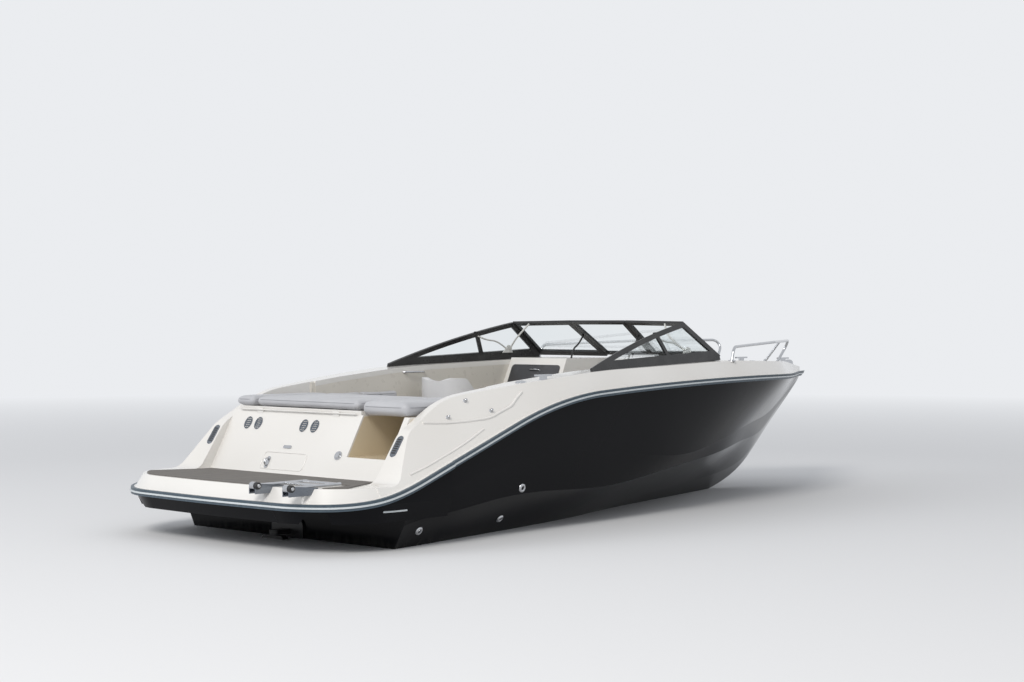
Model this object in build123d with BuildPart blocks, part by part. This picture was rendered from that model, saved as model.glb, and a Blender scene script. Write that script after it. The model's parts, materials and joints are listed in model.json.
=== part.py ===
"""A 7.3 m sterndrive bowrider speedboat, afloat: hull, deck, cockpit, screen, seats and running gear.

Millimetres. +X points to the bow, +Y to port and +Z up. The origin lies on the centreline,
at the transom and at the waterline.
"""
import math
import os

from build123d import *

os.makedirs("parts", exist_ok=True)

# Driving dimensions of the mouldings
SKIN = 40.0                 # laminate and core of the hull and deck mouldings
LINER = 30.0                # wall of the cockpit liner
CLEAR = 0.3                 # seating clearance between pieces
RUN = 6.0                   # running clearance between moving pieces
BIG = 9000.0                # half the size of cutting blocks
PLATFORM_TOP = 440.0        # bathing platform above the water
PLATFORM_LOW = 205.0        # lower edge of the moulding under the platform
PLATFORM_AFT = 745.0        # aft end of the platform, from the transom
PLATFORM_STEP = 10.0        # how far the platform's side stands outside the hull's rail at the transom
PLATFORM_CORNER = 560.0     # corner radius of the platform in plan
DECK_LEAN = 0.60            # how far the deck side leans in for each unit of height
SUNPAD_DECK = 880.0         # deck under the sunpad
SOLE = 300.0                # cockpit floor
BOW_SOLE = 420.0            # bow cockpit floor
WELL_AFT = 1080.0           # aft end of the cockpit well
WELL_SIDE = 930.0           # half the width of the cockpit well
BULKHEAD = 3970.0           # split between the cockpit and the bow cockpit
TRANSOM = 50.0              # thickness of the transom

# Hull sections. Columns: x, keel z, chine y and z, knuckle y and z, crease y and z, rail y and z
STATIONS = (
    (0, -450, 1050, -70, 1185, 165, 1225, 290, 1245, 420),
    (1150, -405, 850, -60, 1165, 295, 1222, 560, 1260, 838),
    (2250, -335, 660, -20, 1120, 285, 1180, 545, 1264, 1030),
    (3200, -255, 520, 60, 1030, 370, 1100, 470, 1250, 1076),
    (4050, -160, 400, 120, 850, 430, 930, 560, 1190, 1085),
    (4850, -50, 250, 170, 560, 490, 650, 650, 1020, 1080),
    (5550, 160, 105, 295, 268, 530, 352, 700, 640, 1070),
    (6150, 632, 42, 695, 100, 780, 145, 860, 280, 1057),
    (6470, 885, 20, 912, 42, 950, 62, 985, 112, 1048),
    (6570, 975, 9, 988, 18, 1005, 26, 1018, 42, 1045),
)
FORM_TOP = 1300.0           # height to which the sections are drawn before they are cut
PLATFORM_SIDE = STATIONS[0][8] + PLATFORM_STEP
LOFT_AT = (0, 480, 960, 1440, 1920, 2400, 2880, 3360, 3840, 4320, 4800, 5250, 5650, 6000, 6270, 6470, 6570)
DECK_AFT = -250.0           # where the deck sides leave the platform

# The sheer in side view, x and z, with the radii of its bends
SHEER = ((-900, 318), (-240, 325), (1530, 978), (3300, 1086), (6800, 1040))
SHEER_RADII = (2150, 3300, 40000)

# The top of the wings and side decks in side view, x and z, with the radii of its bends
TOP = (
    (-900, 440), (-60, 440), (170, 775), (560, 1010), (1300, 1100),
    (2080, 1172), (3850, 1222), (5600, 1180), (6800, 1085),
)
TOP_RADII = (120, 250, 900, 3000, 9000, 9000, 9000)

# Half the plan of the cockpit well, from aft to forward
WELL = (
    (WELL_AFT, WELL_SIDE), (3300, WELL_SIDE), (4000, 880), (4700, 730), (5250, 520), (5500, 250),
)

# The screen: base and top points of the port half, which the starboard half mirrors
SCREEN_TIP = Vector(2060, 1112, 1192)
SCREEN_TOP = Vector(3437, 945, 1540.5)
SCREEN_FOOT = Vector(3863, 1000, 1266.5)
POST_TOP = Vector(3478, 307, 1549.5)
POST_FOOT = Vector(3932, 270, 1263.5)
FRAME_WIDTH = 42.0          # face of the screen's frame
FRAME_DEPTH = 22.0          # thickness of the screen's frame
GLASS = 6.0                 # thickness of the panes

# Sterndrive
GIMBAL_X = -130.0           # steering axis, aft of the transom
GIMBAL_Z = -60.0            # tilt axis, at the waterline or just below
PROP_Z = -600.0             # propeller shaft
PROP_RADIUS = 190.0
TUBE = 25.0                 # stainless rail tube
LIP = 16.0                  # step from the deck's lip in to its leaning side
RAIL_OUT = 24.0             # how far the rub rail stands out
RAIL_HALF = 24.0            # half its height
INSERT_OUT = 7.0            # how far the insert stands out of the rail
INSERT_HALF = 6.0


def side_plane(y):
    """A plane across the boat at y whose local axes are the boat's x and z."""
    return Plane(origin=(0, y, 0), x_dir=(1, 0, 0), z_dir=(0, -1, 0))


def station_plane(x):
    """A plane at x whose local axes are the boat's y and z."""
    return Plane(origin=(x, 0, 0), x_dir=(0, 1, 0), z_dir=(1, 0, 0))


def side_cut(points, radii, rise, above):
    """A block across the boat, above or below a side-view curve that is raised by rise."""
    limit = BIG if above else -BIG
    with BuildPart() as block:
        with BuildSketch(side_plane(BIG)):
            with BuildLine():
                FilletPolyline(*points, radius=radii)
                Polyline(points[-1], (points[-1][0], limit), (points[0][0], limit), points[0])
            make_face()
        extrude(amount=2 * BIG)
    return block.part.moved(Location((0, 0, rise)))


def mirrored(half):
    """Half an outline, given from the centreline or rail outward, made whole about the centreline."""
    return list(half) + [(-y, z) for y, z in reversed(half) if abs(y) > 1e-6]


def height_on(points, radii, x):
    """The height of a side-view curve at x, found by halving the curve's length."""
    with BuildLine(Plane.XZ) as side_view:
        FilletPolyline(*points, radius=radii)
    line = side_view.line
    low, high = 0.0, 1.0
    for _ in range(30):
        middle = (low + high) / 2
        if (line @ middle).X < x:
            low = middle
        else:
            high = middle
    return (line @ low).Z


def faired(x):
    """A row of the table of sections at any x, on a smooth curve through the rows given."""
    rows = STATIONS
    i = max(k for k in range(len(rows) - 1) if rows[k][0] <= x)
    a, b = rows[i], rows[i + 1]
    before, after = rows[max(i - 1, 0)], rows[min(i + 2, len(rows) - 1)]
    span = b[0] - a[0]
    t = (x - a[0]) / span
    row = [x]
    for j in range(1, len(a)):
        slope_a = (b[j] - before[j]) / (b[0] - before[0])
        slope_b = (after[j] - a[j]) / (after[0] - a[0])
        ends = a[j] * (2 * t**3 - 3 * t**2 + 1) + b[j] * (3 * t**2 - 2 * t**3)
        row.append(ends + span * (slope_a * (t**3 - 2 * t**2 + t) + slope_b * (t**3 - t**2)))
    return row


def half_beam(x, z):
    """Half the hull's beam at a station and height, on the straight lines of its section."""
    row = faired(x)
    for y0, z0, y1, z1 in (row[2:6], row[4:8]):
        if z <= z1:
            return y0 + (y1 - y0) * (z - z0) / (z1 - z0)
    return row[6] + (row[8] - row[6]) * (z - row[7]) / (row[9] - row[7])


def hull_form(inset):
    """The hull's outer form, or an inner one that lies inset inside it."""
    with BuildPart() as form:
        for x, keel, cy, cz, ky, kz, sy, sz, ry, rz in [faired(x) for x in LOFT_AT]:
            flare = (ry - sy) / (rz - sz)
            top = sy + flare * (FORM_TOP - sz)
            wall = min(inset, 0.5 * cy)
            half = [
                (0, keel + 1.2 * wall),
                (cy - 0.8 * wall, cz + 0.8 * wall),
                (ky - wall, kz + 0.5 * wall),
                (sy - wall, sz),
                (top - wall, FORM_TOP),
            ]
            with BuildSketch(station_plane(x)):
                with BuildLine():
                    Polyline(*mirrored(half), close=True)
                make_face()
        loft(ruled=inset > 0)
    return form.part


def deck_form(inset):
    """The deck sides above the sheer, leaning inward, or an inner form that lies inset inside it."""
    rows = [(DECK_AFT, 1250)] + [(x, half_beam(x, SHEER_HEIGHTS[x])) for x in LOFT_AT]
    with BuildPart() as form:
        for x, rail_y in rows:
            rail_z = SHEER_HEIGHTS[x]
            lean = min(DECK_LEAN, 0.55 * rail_y / 500)
            side = rail_y - min(LIP, 0.2 * rail_y) - min(inset, 0.2 * rail_y)
            half = [
                (side + 400 * lean, rail_z - 400),
                (side - 500 * lean, rail_z + 500),
            ]
            with BuildSketch(station_plane(x)):
                with BuildLine():
                    Polyline(*mirrored(half), close=True)
                make_face()
        loft()
    return form.part


SHEER_HEIGHTS = {x: height_on(SHEER, SHEER_RADII, x) for x in (DECK_AFT, *LOFT_AT)}


def platform_block(z_low, z_high, grow_low=0.0, grow_high=None):
    """The platform's plan, rounded at its corners, grown by one amount below and another above."""
    grow_high = grow_low if grow_high is None else grow_high
    with BuildPart() as block:
        for z, grow in ((z_low, grow_low), (z_high, grow_high)):
            side = PLATFORM_SIDE + grow
            aft = -PLATFORM_AFT - grow
            with BuildSketch(Plane.XY.offset(z)):
                with BuildLine():
                    FilletPolyline(
                        (400, -side), (aft + 55, -side + 12), (aft, 0), (aft + 55, side - 12), (400, side),
                        radius=(PLATFORM_CORNER + grow, 9000, PLATFORM_CORNER + grow),
                    )
                    Line((400, side), (400, -side))
                make_face()
        loft(ruled=True)
    return block.part


def well_block(grow, z_low, z_high, x_low=-BIG, x_high=BIG):
    """The cockpit well's plan, grown or shrunk, between two heights and two stations."""
    with BuildPart() as block:
        with BuildSketch(Plane.XY.offset(z_low)):
            with BuildLine():
                outline = [(x, y) for x, y in WELL] + [(x, -y) for x, y in reversed(WELL)]
                Polyline(*outline, close=True)
            make_face()
            if grow:
                offset(amount=grow, kind=Kind.INTERSECTION)
            with BuildSketch(Plane.XY.offset(z_low), mode=Mode.INTERSECT):
                with Locations(((x_low + x_high) / 2, 0)):
                    Rectangle(x_high - x_low, 2 * BIG)
        extrude(amount=z_high - z_low)
    return block.part


def box_between(low, high, bevel=0.0):
    """A box from its lowest to its highest corner, all edges bevelled if a width is given."""
    with BuildPart() as block:
        with Locations([tuple((a + b) / 2 for a, b in zip(low, high))]):
            Box(*[b - a for a, b in zip(low, high)])
        if bevel:
            chamfer(block.edges(), length=bevel)
    return block.part


def tube_along(points, radius, bend):
    """A round bar along straight runs that are joined by arcs."""
    with BuildPart() as bar:
        with BuildLine() as path:
            if len(points) > 2:
                FilletPolyline(*points, radius=bend)
            else:
                Line(*points)
        with BuildSketch(Plane(origin=path.line @ 0, z_dir=path.line % 0)):
            Circle(radius)
        sweep(path=path.line)
    return bar.part


def hinge(pivot, axis, toward, reach_fixed, reach_moving):
    """A pinned hinge: its outer knuckles with the pin, and its middle knuckle, each on a leaf.

    The moving leaf runs toward, the fixed one the other way, both behind the pin.
    """
    knuckle, pin, half, length = 7.0, 3.0, 12.0, 34.0
    seat = Plane(origin=pivot, x_dir=toward, z_dir=axis)
    with BuildPart() as fixed:
        for start in (-length, half + CLEAR):
            with BuildSketch(seat.offset(start)):
                Circle(knuckle)
                with Locations((-reach_fixed / 2, -5)):
                    Rectangle(reach_fixed, 7)
            extrude(amount=length - half - CLEAR)
        with BuildSketch(seat.offset(-length)):
            Circle(pin)
        extrude(amount=2 * length)
    with BuildPart() as moving:
        with BuildSketch(seat.offset(-half)):
            Circle(knuckle)
            with Locations((reach_moving / 2, -5)):
                Rectangle(reach_moving, 7)
            Circle(pin + CLEAR, mode=Mode.SUBTRACT)
        extrude(amount=2 * half)
    return fixed.part, moving.part


def save(name, solid):
    """Label a finished piece and write its STEP file."""
    solid.label = name
    export_step(solid, f"parts/{name}.step")


# Outer forms and the cuts that split them
hull_outer = hull_form(0)
hull_inner = hull_form(SKIN)
deck_outer = deck_form(0)
deck_inner = deck_form(SKIN)
below_sheer = side_cut(SHEER, SHEER_RADII, 0, False)
above_sheer = side_cut(SHEER, SHEER_RADII, CLEAR, True)
below_top = side_cut(TOP, TOP_RADII, 0, False)
under_deck = side_cut(TOP, TOP_RADII, -SKIN, False)

# Hull moulding: shell with its transom, and the moulding that carries the platform
platform_skirt = platform_block(PLATFORM_LOW, 330, -50, 0)
platform_edge = platform_block(330, 600)
platform_pocket = box_between((-640, -1040, 0), (-CLEAR, 1040, 285))
hull_room = hull_inner & box_between((TRANSOM, -BIG, -BIG), (BIG, BIG, BIG))
with BuildPart() as hull:
    add(hull_outer)
    add([platform_skirt, platform_edge])
    add([platform_pocket, hull_room], mode=Mode.SUBTRACT)
    add(below_sheer, mode=Mode.INTERSECT)
save("hull", hull.part)

# Deck moulding: platform top, transom face, quarter wings, side decks and foredeck
TRANSOM_FOOT = 40.0         # where the transom face rises from the platform
TRANSOM_HEAD = 285.0        # its upper edge, under the sunpad
WING_INNER = 950.0          # inner face of the quarter wings
PASSAGE_OUT = 900.0         # walk-through beside the sunpad, on the starboard side
PASSAGE_IN = 480.0
PASSAGE_FLOOR = 590.0
HATCH_SIDE = 900.0          # port edge of the engine hatch
HATCH_FRONT = WELL_AFT - 10
PANEL = 30.0                # thickness of lids and doors
CRADLE = 45.0               # moulding left round the engine bay
platform_top = platform_block(330, PLATFORM_TOP, 0, DECK_LEAN * (330 - PLATFORM_TOP))
deck_room = deck_inner & under_deck & box_between((WELL_AFT - LINER - CLEAR, -BIG, -BIG), (BIG, BIG, BIG))
hatch_hole = box_between((TRANSOM_HEAD + 60, -PASSAGE_IN + 80, SUNPAD_DECK - CRADLE - 5),
                         (WELL_AFT - 90, HATCH_SIDE - 80, SUNPAD_DECK + 5))
passage = box_between((-50, -PASSAGE_OUT, PASSAGE_FLOOR), (WELL_AFT + 5, -PASSAGE_IN, 1200))
passage_under = box_between((TRANSOM + 120, -PASSAGE_OUT - 20, 0),
                            (WELL_AFT - CRADLE, -PASSAGE_IN - 0.01, PASSAGE_FLOOR - CRADLE))
well_hole = well_block(0, 0, 2000)
ladder_tray = box_between((-545, -945, PLATFORM_TOP - 14), (-290, -515, 600))
HATCH_PIN = (TRANSOM_HEAD - 8, SUNPAD_DECK + 13)
hatch_hinges = [hinge((HATCH_PIN[0], y, HATCH_PIN[1]), (0, -1, 0), (1, 0, 0), 6, 40) for y in (-200, 640)]
hatch_feet = [
    box_between(
        (HATCH_PIN[0] - 5, y - 34, SUNPAD_DECK - 40),
        (HATCH_PIN[0] - CLEAR, y + 34, HATCH_PIN[1] - 8),
    )
    for y in (-200, 640)
]
lip_limit = side_cut(SHEER, SHEER_RADII, RAIL_HALF, False)
with BuildPart() as lip:
    add([hull_outer, platform_edge])
    add(above_sheer, mode=Mode.INTERSECT)
    add(lip_limit, mode=Mode.INTERSECT)
with BuildPart() as deck:
    add(deck_outer)
    add(platform_top)
    add(above_sheer, mode=Mode.INTERSECT)
    add(below_top, mode=Mode.INTERSECT)
    add(lip.part)
    with BuildSketch(side_plane(WING_INNER)):
        Polygon(
            (TRANSOM_FOOT, PLATFORM_TOP), (TRANSOM_HEAD, SUNPAD_DECK),
            (WELL_AFT - LINER - CLEAR, SUNPAD_DECK), (WELL_AFT - LINER - CLEAR, PLATFORM_TOP), align=None,
        )
    extrude(amount=2 * WING_INNER)
    with BuildSketch(side_plane(WING_INNER)):
        Polygon(
            (-900, PLATFORM_TOP), (TRANSOM_FOOT, PLATFORM_TOP), (TRANSOM_HEAD, SUNPAD_DECK),
            (WELL_AFT + 1, SUNPAD_DECK), (WELL_AFT + 1, 1500), (-900, 1500), align=None,
        )
    extrude(amount=2 * WING_INNER, mode=Mode.SUBTRACT)
    with BuildSketch(side_plane(HATCH_SIDE)):
        Polygon(
            (TRANSOM + 10, 0), (TRANSOM + 10, 395), (TRANSOM_HEAD + 15, SUNPAD_DECK - CRADLE),
            (WELL_AFT - CRADLE, SUNPAD_DECK - CRADLE), (WELL_AFT - CRADLE, 0), align=None,
        )
    extrude(amount=HATCH_SIDE + PASSAGE_IN - CRADLE, mode=Mode.SUBTRACT)
    add([deck_room, hatch_hole, passage, passage_under, well_hole, ladder_tray], mode=Mode.SUBTRACT)
    add([fixed for fixed, moving in hatch_hinges])
    add(hatch_feet)
save("deck", deck.part)

# Rub rail round the sheer and the platform, with its bright insert
def sheer_band(half, grow):
    """The space within half of the sheer, out to grow beyond the hull's and platform's sides."""
    sides = hull_form(-grow) & box_between((0, -BIG, -BIG), (BIG, BIG, BIG))
    platform = platform_block(200, 600, grow)
    upper = side_cut(SHEER, SHEER_RADII, half, False)
    lower = side_cut(SHEER, SHEER_RADII, -half, True)
    with BuildPart() as band:
        add([sides, platform])
        add(upper, mode=Mode.INTERSECT)
        add(lower, mode=Mode.INTERSECT)
    return band.part


band_blank = sheer_band(RAIL_HALF, RAIL_OUT)
insert_blank = sheer_band(INSERT_HALF, RAIL_OUT + INSERT_OUT)
platform_core = platform_block(200, 700)
with BuildPart() as rub_rail:
    add(band_blank)
    add([hull_outer, platform_core], mode=Mode.SUBTRACT)
with BuildPart() as rub_insert:
    add(insert_blank)
    add(band_blank, mode=Mode.SUBTRACT)
save("rub_rail", rub_rail.part)
save("rub_rail_insert", rub_insert.part)

# Cockpit liner and bow liner: floors and walls inside the hull
liner_form = hull_form(SKIN + 1)
liner_hollow = hull_form(SKIN + 1 + LINER)
liner_top = side_cut(TOP, TOP_RADII, -SKIN - CLEAR, False)
liner_inside = hull_form(SKIN + 1 + LINER + CLEAR)
stern_deck = side_cut(SHEER, SHEER_RADII, -CLEAR, True) & box_between((0, -BIG, 0), (WELL_AFT, BIG, BIG))


def liner(z_floor, x_low, x_high, aft_wall):
    """The part of the liner between two stations: a floor and the well's walls."""
    outer = well_block(LINER, z_floor - LINER, 1300, x_low - LINER, x_high) & liner_form & liner_top
    inner = well_block(0, z_floor, 1400, x_low if aft_wall else x_low - LINER - 1, x_high + 1) & liner_hollow
    with BuildPart() as walls:
        add(outer)
        add([inner, stern_deck], mode=Mode.SUBTRACT)
    return walls.part


GATE_PIN = (WELL_AFT + RUN + PANEL + 8, -PASSAGE_OUT + 3)
gate_hinges = [hinge((*GATE_PIN, z), (0, 0, -1), (0, 1, 0), -GATE_PIN[1] - 897 + 36, 50) for z in (430, 780)]
with BuildPart() as cockpit_walls:
    add(liner(SOLE, WELL_AFT, BULKHEAD, True))
    add(passage, mode=Mode.SUBTRACT)
    add([fixed for fixed, moving in gate_hinges])
save("cockpit_liner", cockpit_walls.part)
bow_liner = liner(BOW_SOLE, BULKHEAD + LINER + CLEAR, 5600, False)
save("bow_liner", bow_liner)

# Mat on the platform, inset from its edge and cut round the ladder's recess
MAT = 6.0
MAT_MARGIN = 25.0           # bare edge left round the mat
MAT_FRONT = TRANSOM_FOOT - 20
mat_low, mat_high = PLATFORM_TOP + CLEAR, PLATFORM_TOP + CLEAR + MAT
RECESS = ((-800.0, -960.0), (-275.0, -500.0))      # ladder recess: aft starboard corner, forward port corner
recess_space = box_between((*RECESS[0], PLATFORM_TOP - 1), (*RECESS[1], PLATFORM_TOP + 20))
with BuildPart() as platform_mat:
    add(platform_block(mat_low, mat_high, DECK_LEAN * (330 - PLATFORM_TOP) - MAT_MARGIN))
    with BuildSketch(Plane.XY.offset(mat_low - 1)):
        with BuildLine():
            Polyline(
                (MAT_FRONT, -905), (-130, -940), (-560, -1150), (-900, -1150),
                (-900, 1150), (-560, 1150), (-130, 940), (MAT_FRONT, 905), close=True,
            )
        make_face()
    extrude(amount=MAT + 2, mode=Mode.INTERSECT)
    add(recess_space, mode=Mode.SUBTRACT)
save("platform_mat", platform_mat.part)

# Sunpad hatch over the engine, with its cushions, and the filler cushion over the walk-through
LID_LOW = SUNPAD_DECK + CLEAR
LID_TOP = LID_LOW + PANEL
PAD = 75.0                  # thickness of the sunpad cushions
LID_STARBOARD = -455.0
lid = box_between((TRANSOM_HEAD + 5, LID_STARBOARD, LID_LOW), (HATCH_FRONT, HATCH_SIDE, LID_TOP))
with BuildPart() as sunpad_hatch:
    add(lid)
    add([moving for fixed, moving in hatch_hinges])
save("sunpad_hatch", sunpad_hatch.part)
pad_main = box_between((TRANSOM_HEAD - 30, LID_STARBOARD + 2, LID_TOP + CLEAR),
                       (HATCH_FRONT, 700, LID_TOP + PAD), 25)
pad_port = box_between((TRANSOM_HEAD - 30, 706, LID_TOP + CLEAR),
                       (HATCH_FRONT, HATCH_SIDE + 30, LID_TOP + PAD), 25)
with BuildPart() as sunpad_cushion:
    add([pad_main, pad_port])
save("sunpad_cushion", sunpad_cushion.part)
filler = box_between((TRANSOM_HEAD - 30, -940, SUNPAD_DECK + CLEAR),
                     (HATCH_FRONT, LID_STARBOARD - 6, LID_TOP + PAD), 30)
save("filler_cushion", filler)

# Gate across the forward end of the walk-through
gate = box_between((WELL_AFT + 6, -PASSAGE_OUT + 6, SOLE + 20),
                   (WELL_AFT + 6 + PANEL, -PASSAGE_IN - 6, SUNPAD_DECK - 10))
with BuildPart() as passage_gate:
    add(gate)
    add([moving for fixed, moving in gate_hinges])
save("passage_gate", passage_gate.part)

# Engine on its bearers, under the sunpad
ENGINE_LOW = -190.0
bearer_form = hull_form(SKIN / 2)
bearers = []
for side in (-1, 1):
    y = side * 270
    bearer = box_between((TRANSOM - 1, y - 40, -500), (WELL_AFT - 60, y + 40, ENGINE_LOW))
    bearers.append(bearer & bearer_form)
with BuildPart() as engine_bearers:
    add(bearers)
    add(hull.part, mode=Mode.SUBTRACT)
save("engine_bearers", engine_bearers.part)
engine = box_between((140, -330, ENGINE_LOW + CLEAR), (880, 330, 470), 20)
save("engine", engine)

# Lounge to port and across the aft end of the cockpit
SEAT_LOW = 620.0
SEAT_TOP = 710.0
BACK_TOP = 985.0
AFT_BENCH = 1520.0          # forward edge of the aft bench
PORT_BENCH = 1930.0         # forward edge of the port bench
PORT_INNER = 470.0          # inboard edge of the port bench
with BuildPart() as lounge_base:
    with BuildSketch(Plane.XY.offset(SOLE + CLEAR)):
        Polygon(
            (WELL_AFT + RUN, -420), (AFT_BENCH - 40, -420), (AFT_BENCH - 40, PORT_INNER + 40),
            (PORT_BENCH - 40, PORT_INNER + 40), (PORT_BENCH - 40, WELL_SIDE - 2),
            (WELL_AFT + RUN, WELL_SIDE - 2), align=None,
        )
    extrude(amount=SEAT_LOW - SOLE)
    add(liner_inside, mode=Mode.INTERSECT)
save("lounge_base", lounge_base.part)
with BuildPart() as lounge_seat:
    with BuildSketch(Plane.XY.offset(SEAT_LOW + 2 * CLEAR)):
        Polygon(
            (WELL_AFT + RUN, -430), (AFT_BENCH, -430), (AFT_BENCH, PORT_INNER),
            (PORT_BENCH, PORT_INNER), (PORT_BENCH, WELL_SIDE - 2),
            (WELL_AFT + RUN, WELL_SIDE - 2), align=None,
        )
    extrude(amount=SEAT_TOP - SEAT_LOW)
    chamfer(lounge_seat.edges(), length=14)
save("lounge_seat_cushion", lounge_seat.part)
BACK = 85.0                 # thickness of the backrest cushions
with BuildPart() as lounge_back:
    low, high = SEAT_TOP + 3 * CLEAR, BACK_TOP
    spans = (
        ((WELL_AFT + RUN, -425), (WELL_AFT + RUN + BACK, WELL_SIDE - 4)),
        ((WELL_AFT + RUN + BACK + 4, WELL_SIDE - BACK), (1510, WELL_SIDE - 2)),
        ((1516, WELL_SIDE - BACK), (PORT_BENCH - 4, WELL_SIDE - 2)),
    )
    for (x0, y0), (x1, y1) in spans:
        with Locations(((x0 + x1) / 2, (y0 + y1) / 2, (low + high) / 2)):
            Box(x1 - x0, y1 - y0, high - low)
    chamfer(lounge_back.edges(), length=14)
save("lounge_back_cushions", lounge_back.part)

# Consoles under the screen
DASH_TOP = 1228.0
CONSOLE_AFT = 3170.0
AISLE = 275.0               # half the width of the walk-through between the consoles
console_plan = well_block(-CLEAR, SOLE + CLEAR, DASH_TOP, CONSOLE_AFT, BULKHEAD)


def console(side):
    """One console, filling the well from the aisle outward, with a raked aft face."""
    y_low, y_high = (AISLE, BIG) if side > 0 else (-BIG, -AISLE)
    keep = box_between((0, y_low, -BIG), (BIG, y_high, BIG))
    with BuildPart() as body:
        add(console_plan)
        add(keep, mode=Mode.INTERSECT)
        with BuildSketch(side_plane(BIG)):
            Polygon((CONSOLE_AFT - 10, 700), (CONSOLE_AFT - 10, 1300), (CONSOLE_AFT + 260, 1300), align=None)
        extrude(amount=2 * BIG, mode=Mode.SUBTRACT)
        add(liner_inside, mode=Mode.INTERSECT)
    return body.part


port_console = console(1)
door_x = (CONSOLE_AFT + 90, BULKHEAD - 170)
locker_room = box_between((door_x[0], AISLE + PANEL, SOLE + 60), (door_x[1], AISLE + 520, 1060))
locker_mouth = box_between((door_x[0], AISLE - 1, SOLE + 60), (door_x[1], AISLE + PANEL + 1, 1060))
DOOR_PIN = (door_x[1] - RUN / 2, AISLE - 8)
door_hinges = [hinge((*DOOR_PIN, z), (0, 0, 1), (-1, 0, 0), 40, 45) for z in (470, 950)]
with BuildPart() as port_console_body:
    add(port_console)
    add([locker_room, locker_mouth], mode=Mode.SUBTRACT)
    add([fixed for fixed, moving in door_hinges])
save("port_console", port_console_body.part)
locker_door = box_between((door_x[0] + RUN, AISLE, SOLE + 60 + RUN),
                          (door_x[1] - RUN, AISLE + PANEL - 5, 1060 - RUN))
with BuildPart() as console_door:
    add(locker_door)
    add([moving for fixed, moving in door_hinges])
save("console_door", console_door.part)
helm_console = console(-1)
save("helm_console", helm_console)

# Screen: three framed panes each side of the middle, and a hinged middle pane
DROP = Vector(0, 0, -45)    # how far the lower frame runs down to meet the deck
ARCH = 28.0                 # rise of the side frames' arched top


def flip(point, side):
    """A point of the port half, or its mirror image on the starboard side."""
    return Vector(point.X, point.Y * side, point.Z)


def pane_plane(a, b, c):
    """The plane through three points, with its local x along the first two."""
    return Plane(origin=a, x_dir=b - a, z_dir=(b - a).cross(c - a))


def panel(plane, corners, depth, inset, arch=0.0):
    """A flat plate with the corners given, drawn in by inset, centred on its plane.

    The edge between the first two corners rises by arch over their straight line.
    """
    flat = [plane.to_local_coords(corner) for corner in corners]
    flat = [Vector(q.X, q.Y) for q in flat]
    along = (flat[1] - flat[0]).normalized()
    outward = Vector(-along.Y, along.X)
    if outward.dot(flat[2] - flat[0]) > 0:
        outward = -outward
    with BuildPart() as plate:
        with BuildSketch(plane):
            with BuildLine():
                if arch:
                    ThreePointArc(flat[0], (flat[0] + flat[1]) * 0.5 + outward * arch, flat[1])
                else:
                    Line(flat[0], flat[1])
                Polyline(*flat[1:], flat[0])
            make_face()
            if inset:
                offset(amount=-inset, kind=Kind.INTERSECTION)
        extrude(amount=depth / 2, both=True)
    return plate.part


GAP = RUN
post = (POST_TOP - POST_FOOT).normalized()
ahead = Vector(post.Z, 0, -post.X).normalized()
pin_foot = POST_FOOT + Vector(0, -GAP / 2, 0) + ahead * (FRAME_DEPTH / 2 + 8)
screen_hinges = [hinge(pin_foot + post * along, post, (0, -1, 0), 24, 28) for along in (110, 430)]
frames = {}
panes = {}
for side, name in ((1, "port"), (-1, "starboard")):
    tip, top, foot, post_top, post_foot = [
        flip(p, side) for p in (SCREEN_TIP, SCREEN_TOP, SCREEN_FOOT, POST_TOP, POST_FOOT)
    ]
    side_face = pane_plane(tip, foot, top)
    front_face = pane_plane(foot, post_foot, top)
    side_plate = panel(side_face, [tip, top, foot, foot + DROP, tip + DROP], FRAME_DEPTH, 0, ARCH)
    front_corners = [foot + DROP, foot, top, post_top, post_foot, post_foot + DROP]
    front_plate = panel(front_face, front_corners, FRAME_DEPTH, 0)
    side_hole = panel(side_face, [tip, top, foot], FRAME_DEPTH + 2, FRAME_WIDTH, ARCH)
    front_hole = panel(front_face, [foot, top, post_top, post_foot], FRAME_DEPTH + 2, FRAME_WIDTH)
    mullion_foot = tip + (foot - tip) * 0.60
    mullion_top = mullion_foot + (tip + (top - tip) * 0.70 - mullion_foot) * 1.12
    along = (foot - tip).normalized() * (FRAME_WIDTH / 2)
    mullion = panel(
        side_face, [mullion_top - along, mullion_top + along, mullion_foot + along, mullion_foot - along],
        FRAME_DEPTH - 6, 0,
    )
    with BuildPart() as frame:
        add([side_plate, front_plate])
        add([side_hole, front_hole], mode=Mode.SUBTRACT)
        add(mullion)
        add([deck.part, port_console_body.part, helm_console], mode=Mode.SUBTRACT)
        if side > 0:
            add([fixed for fixed, moving in screen_hinges])
    frames[name] = frame.part
    side_pane = panel(side_face, [tip, top, foot], GLASS, FRAME_WIDTH + CLEAR, ARCH)
    front_pane = panel(front_face, [foot, top, post_top, post_foot], GLASS, FRAME_WIDTH + CLEAR)
    with BuildPart() as glass:
        add([side_pane, front_pane])
        add(frame.part, mode=Mode.SUBTRACT)
    panes[name] = glass.part
    save(f"screen_frame_{name}", frame.part)
    save(f"screen_glass_{name}", glass.part)

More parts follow.
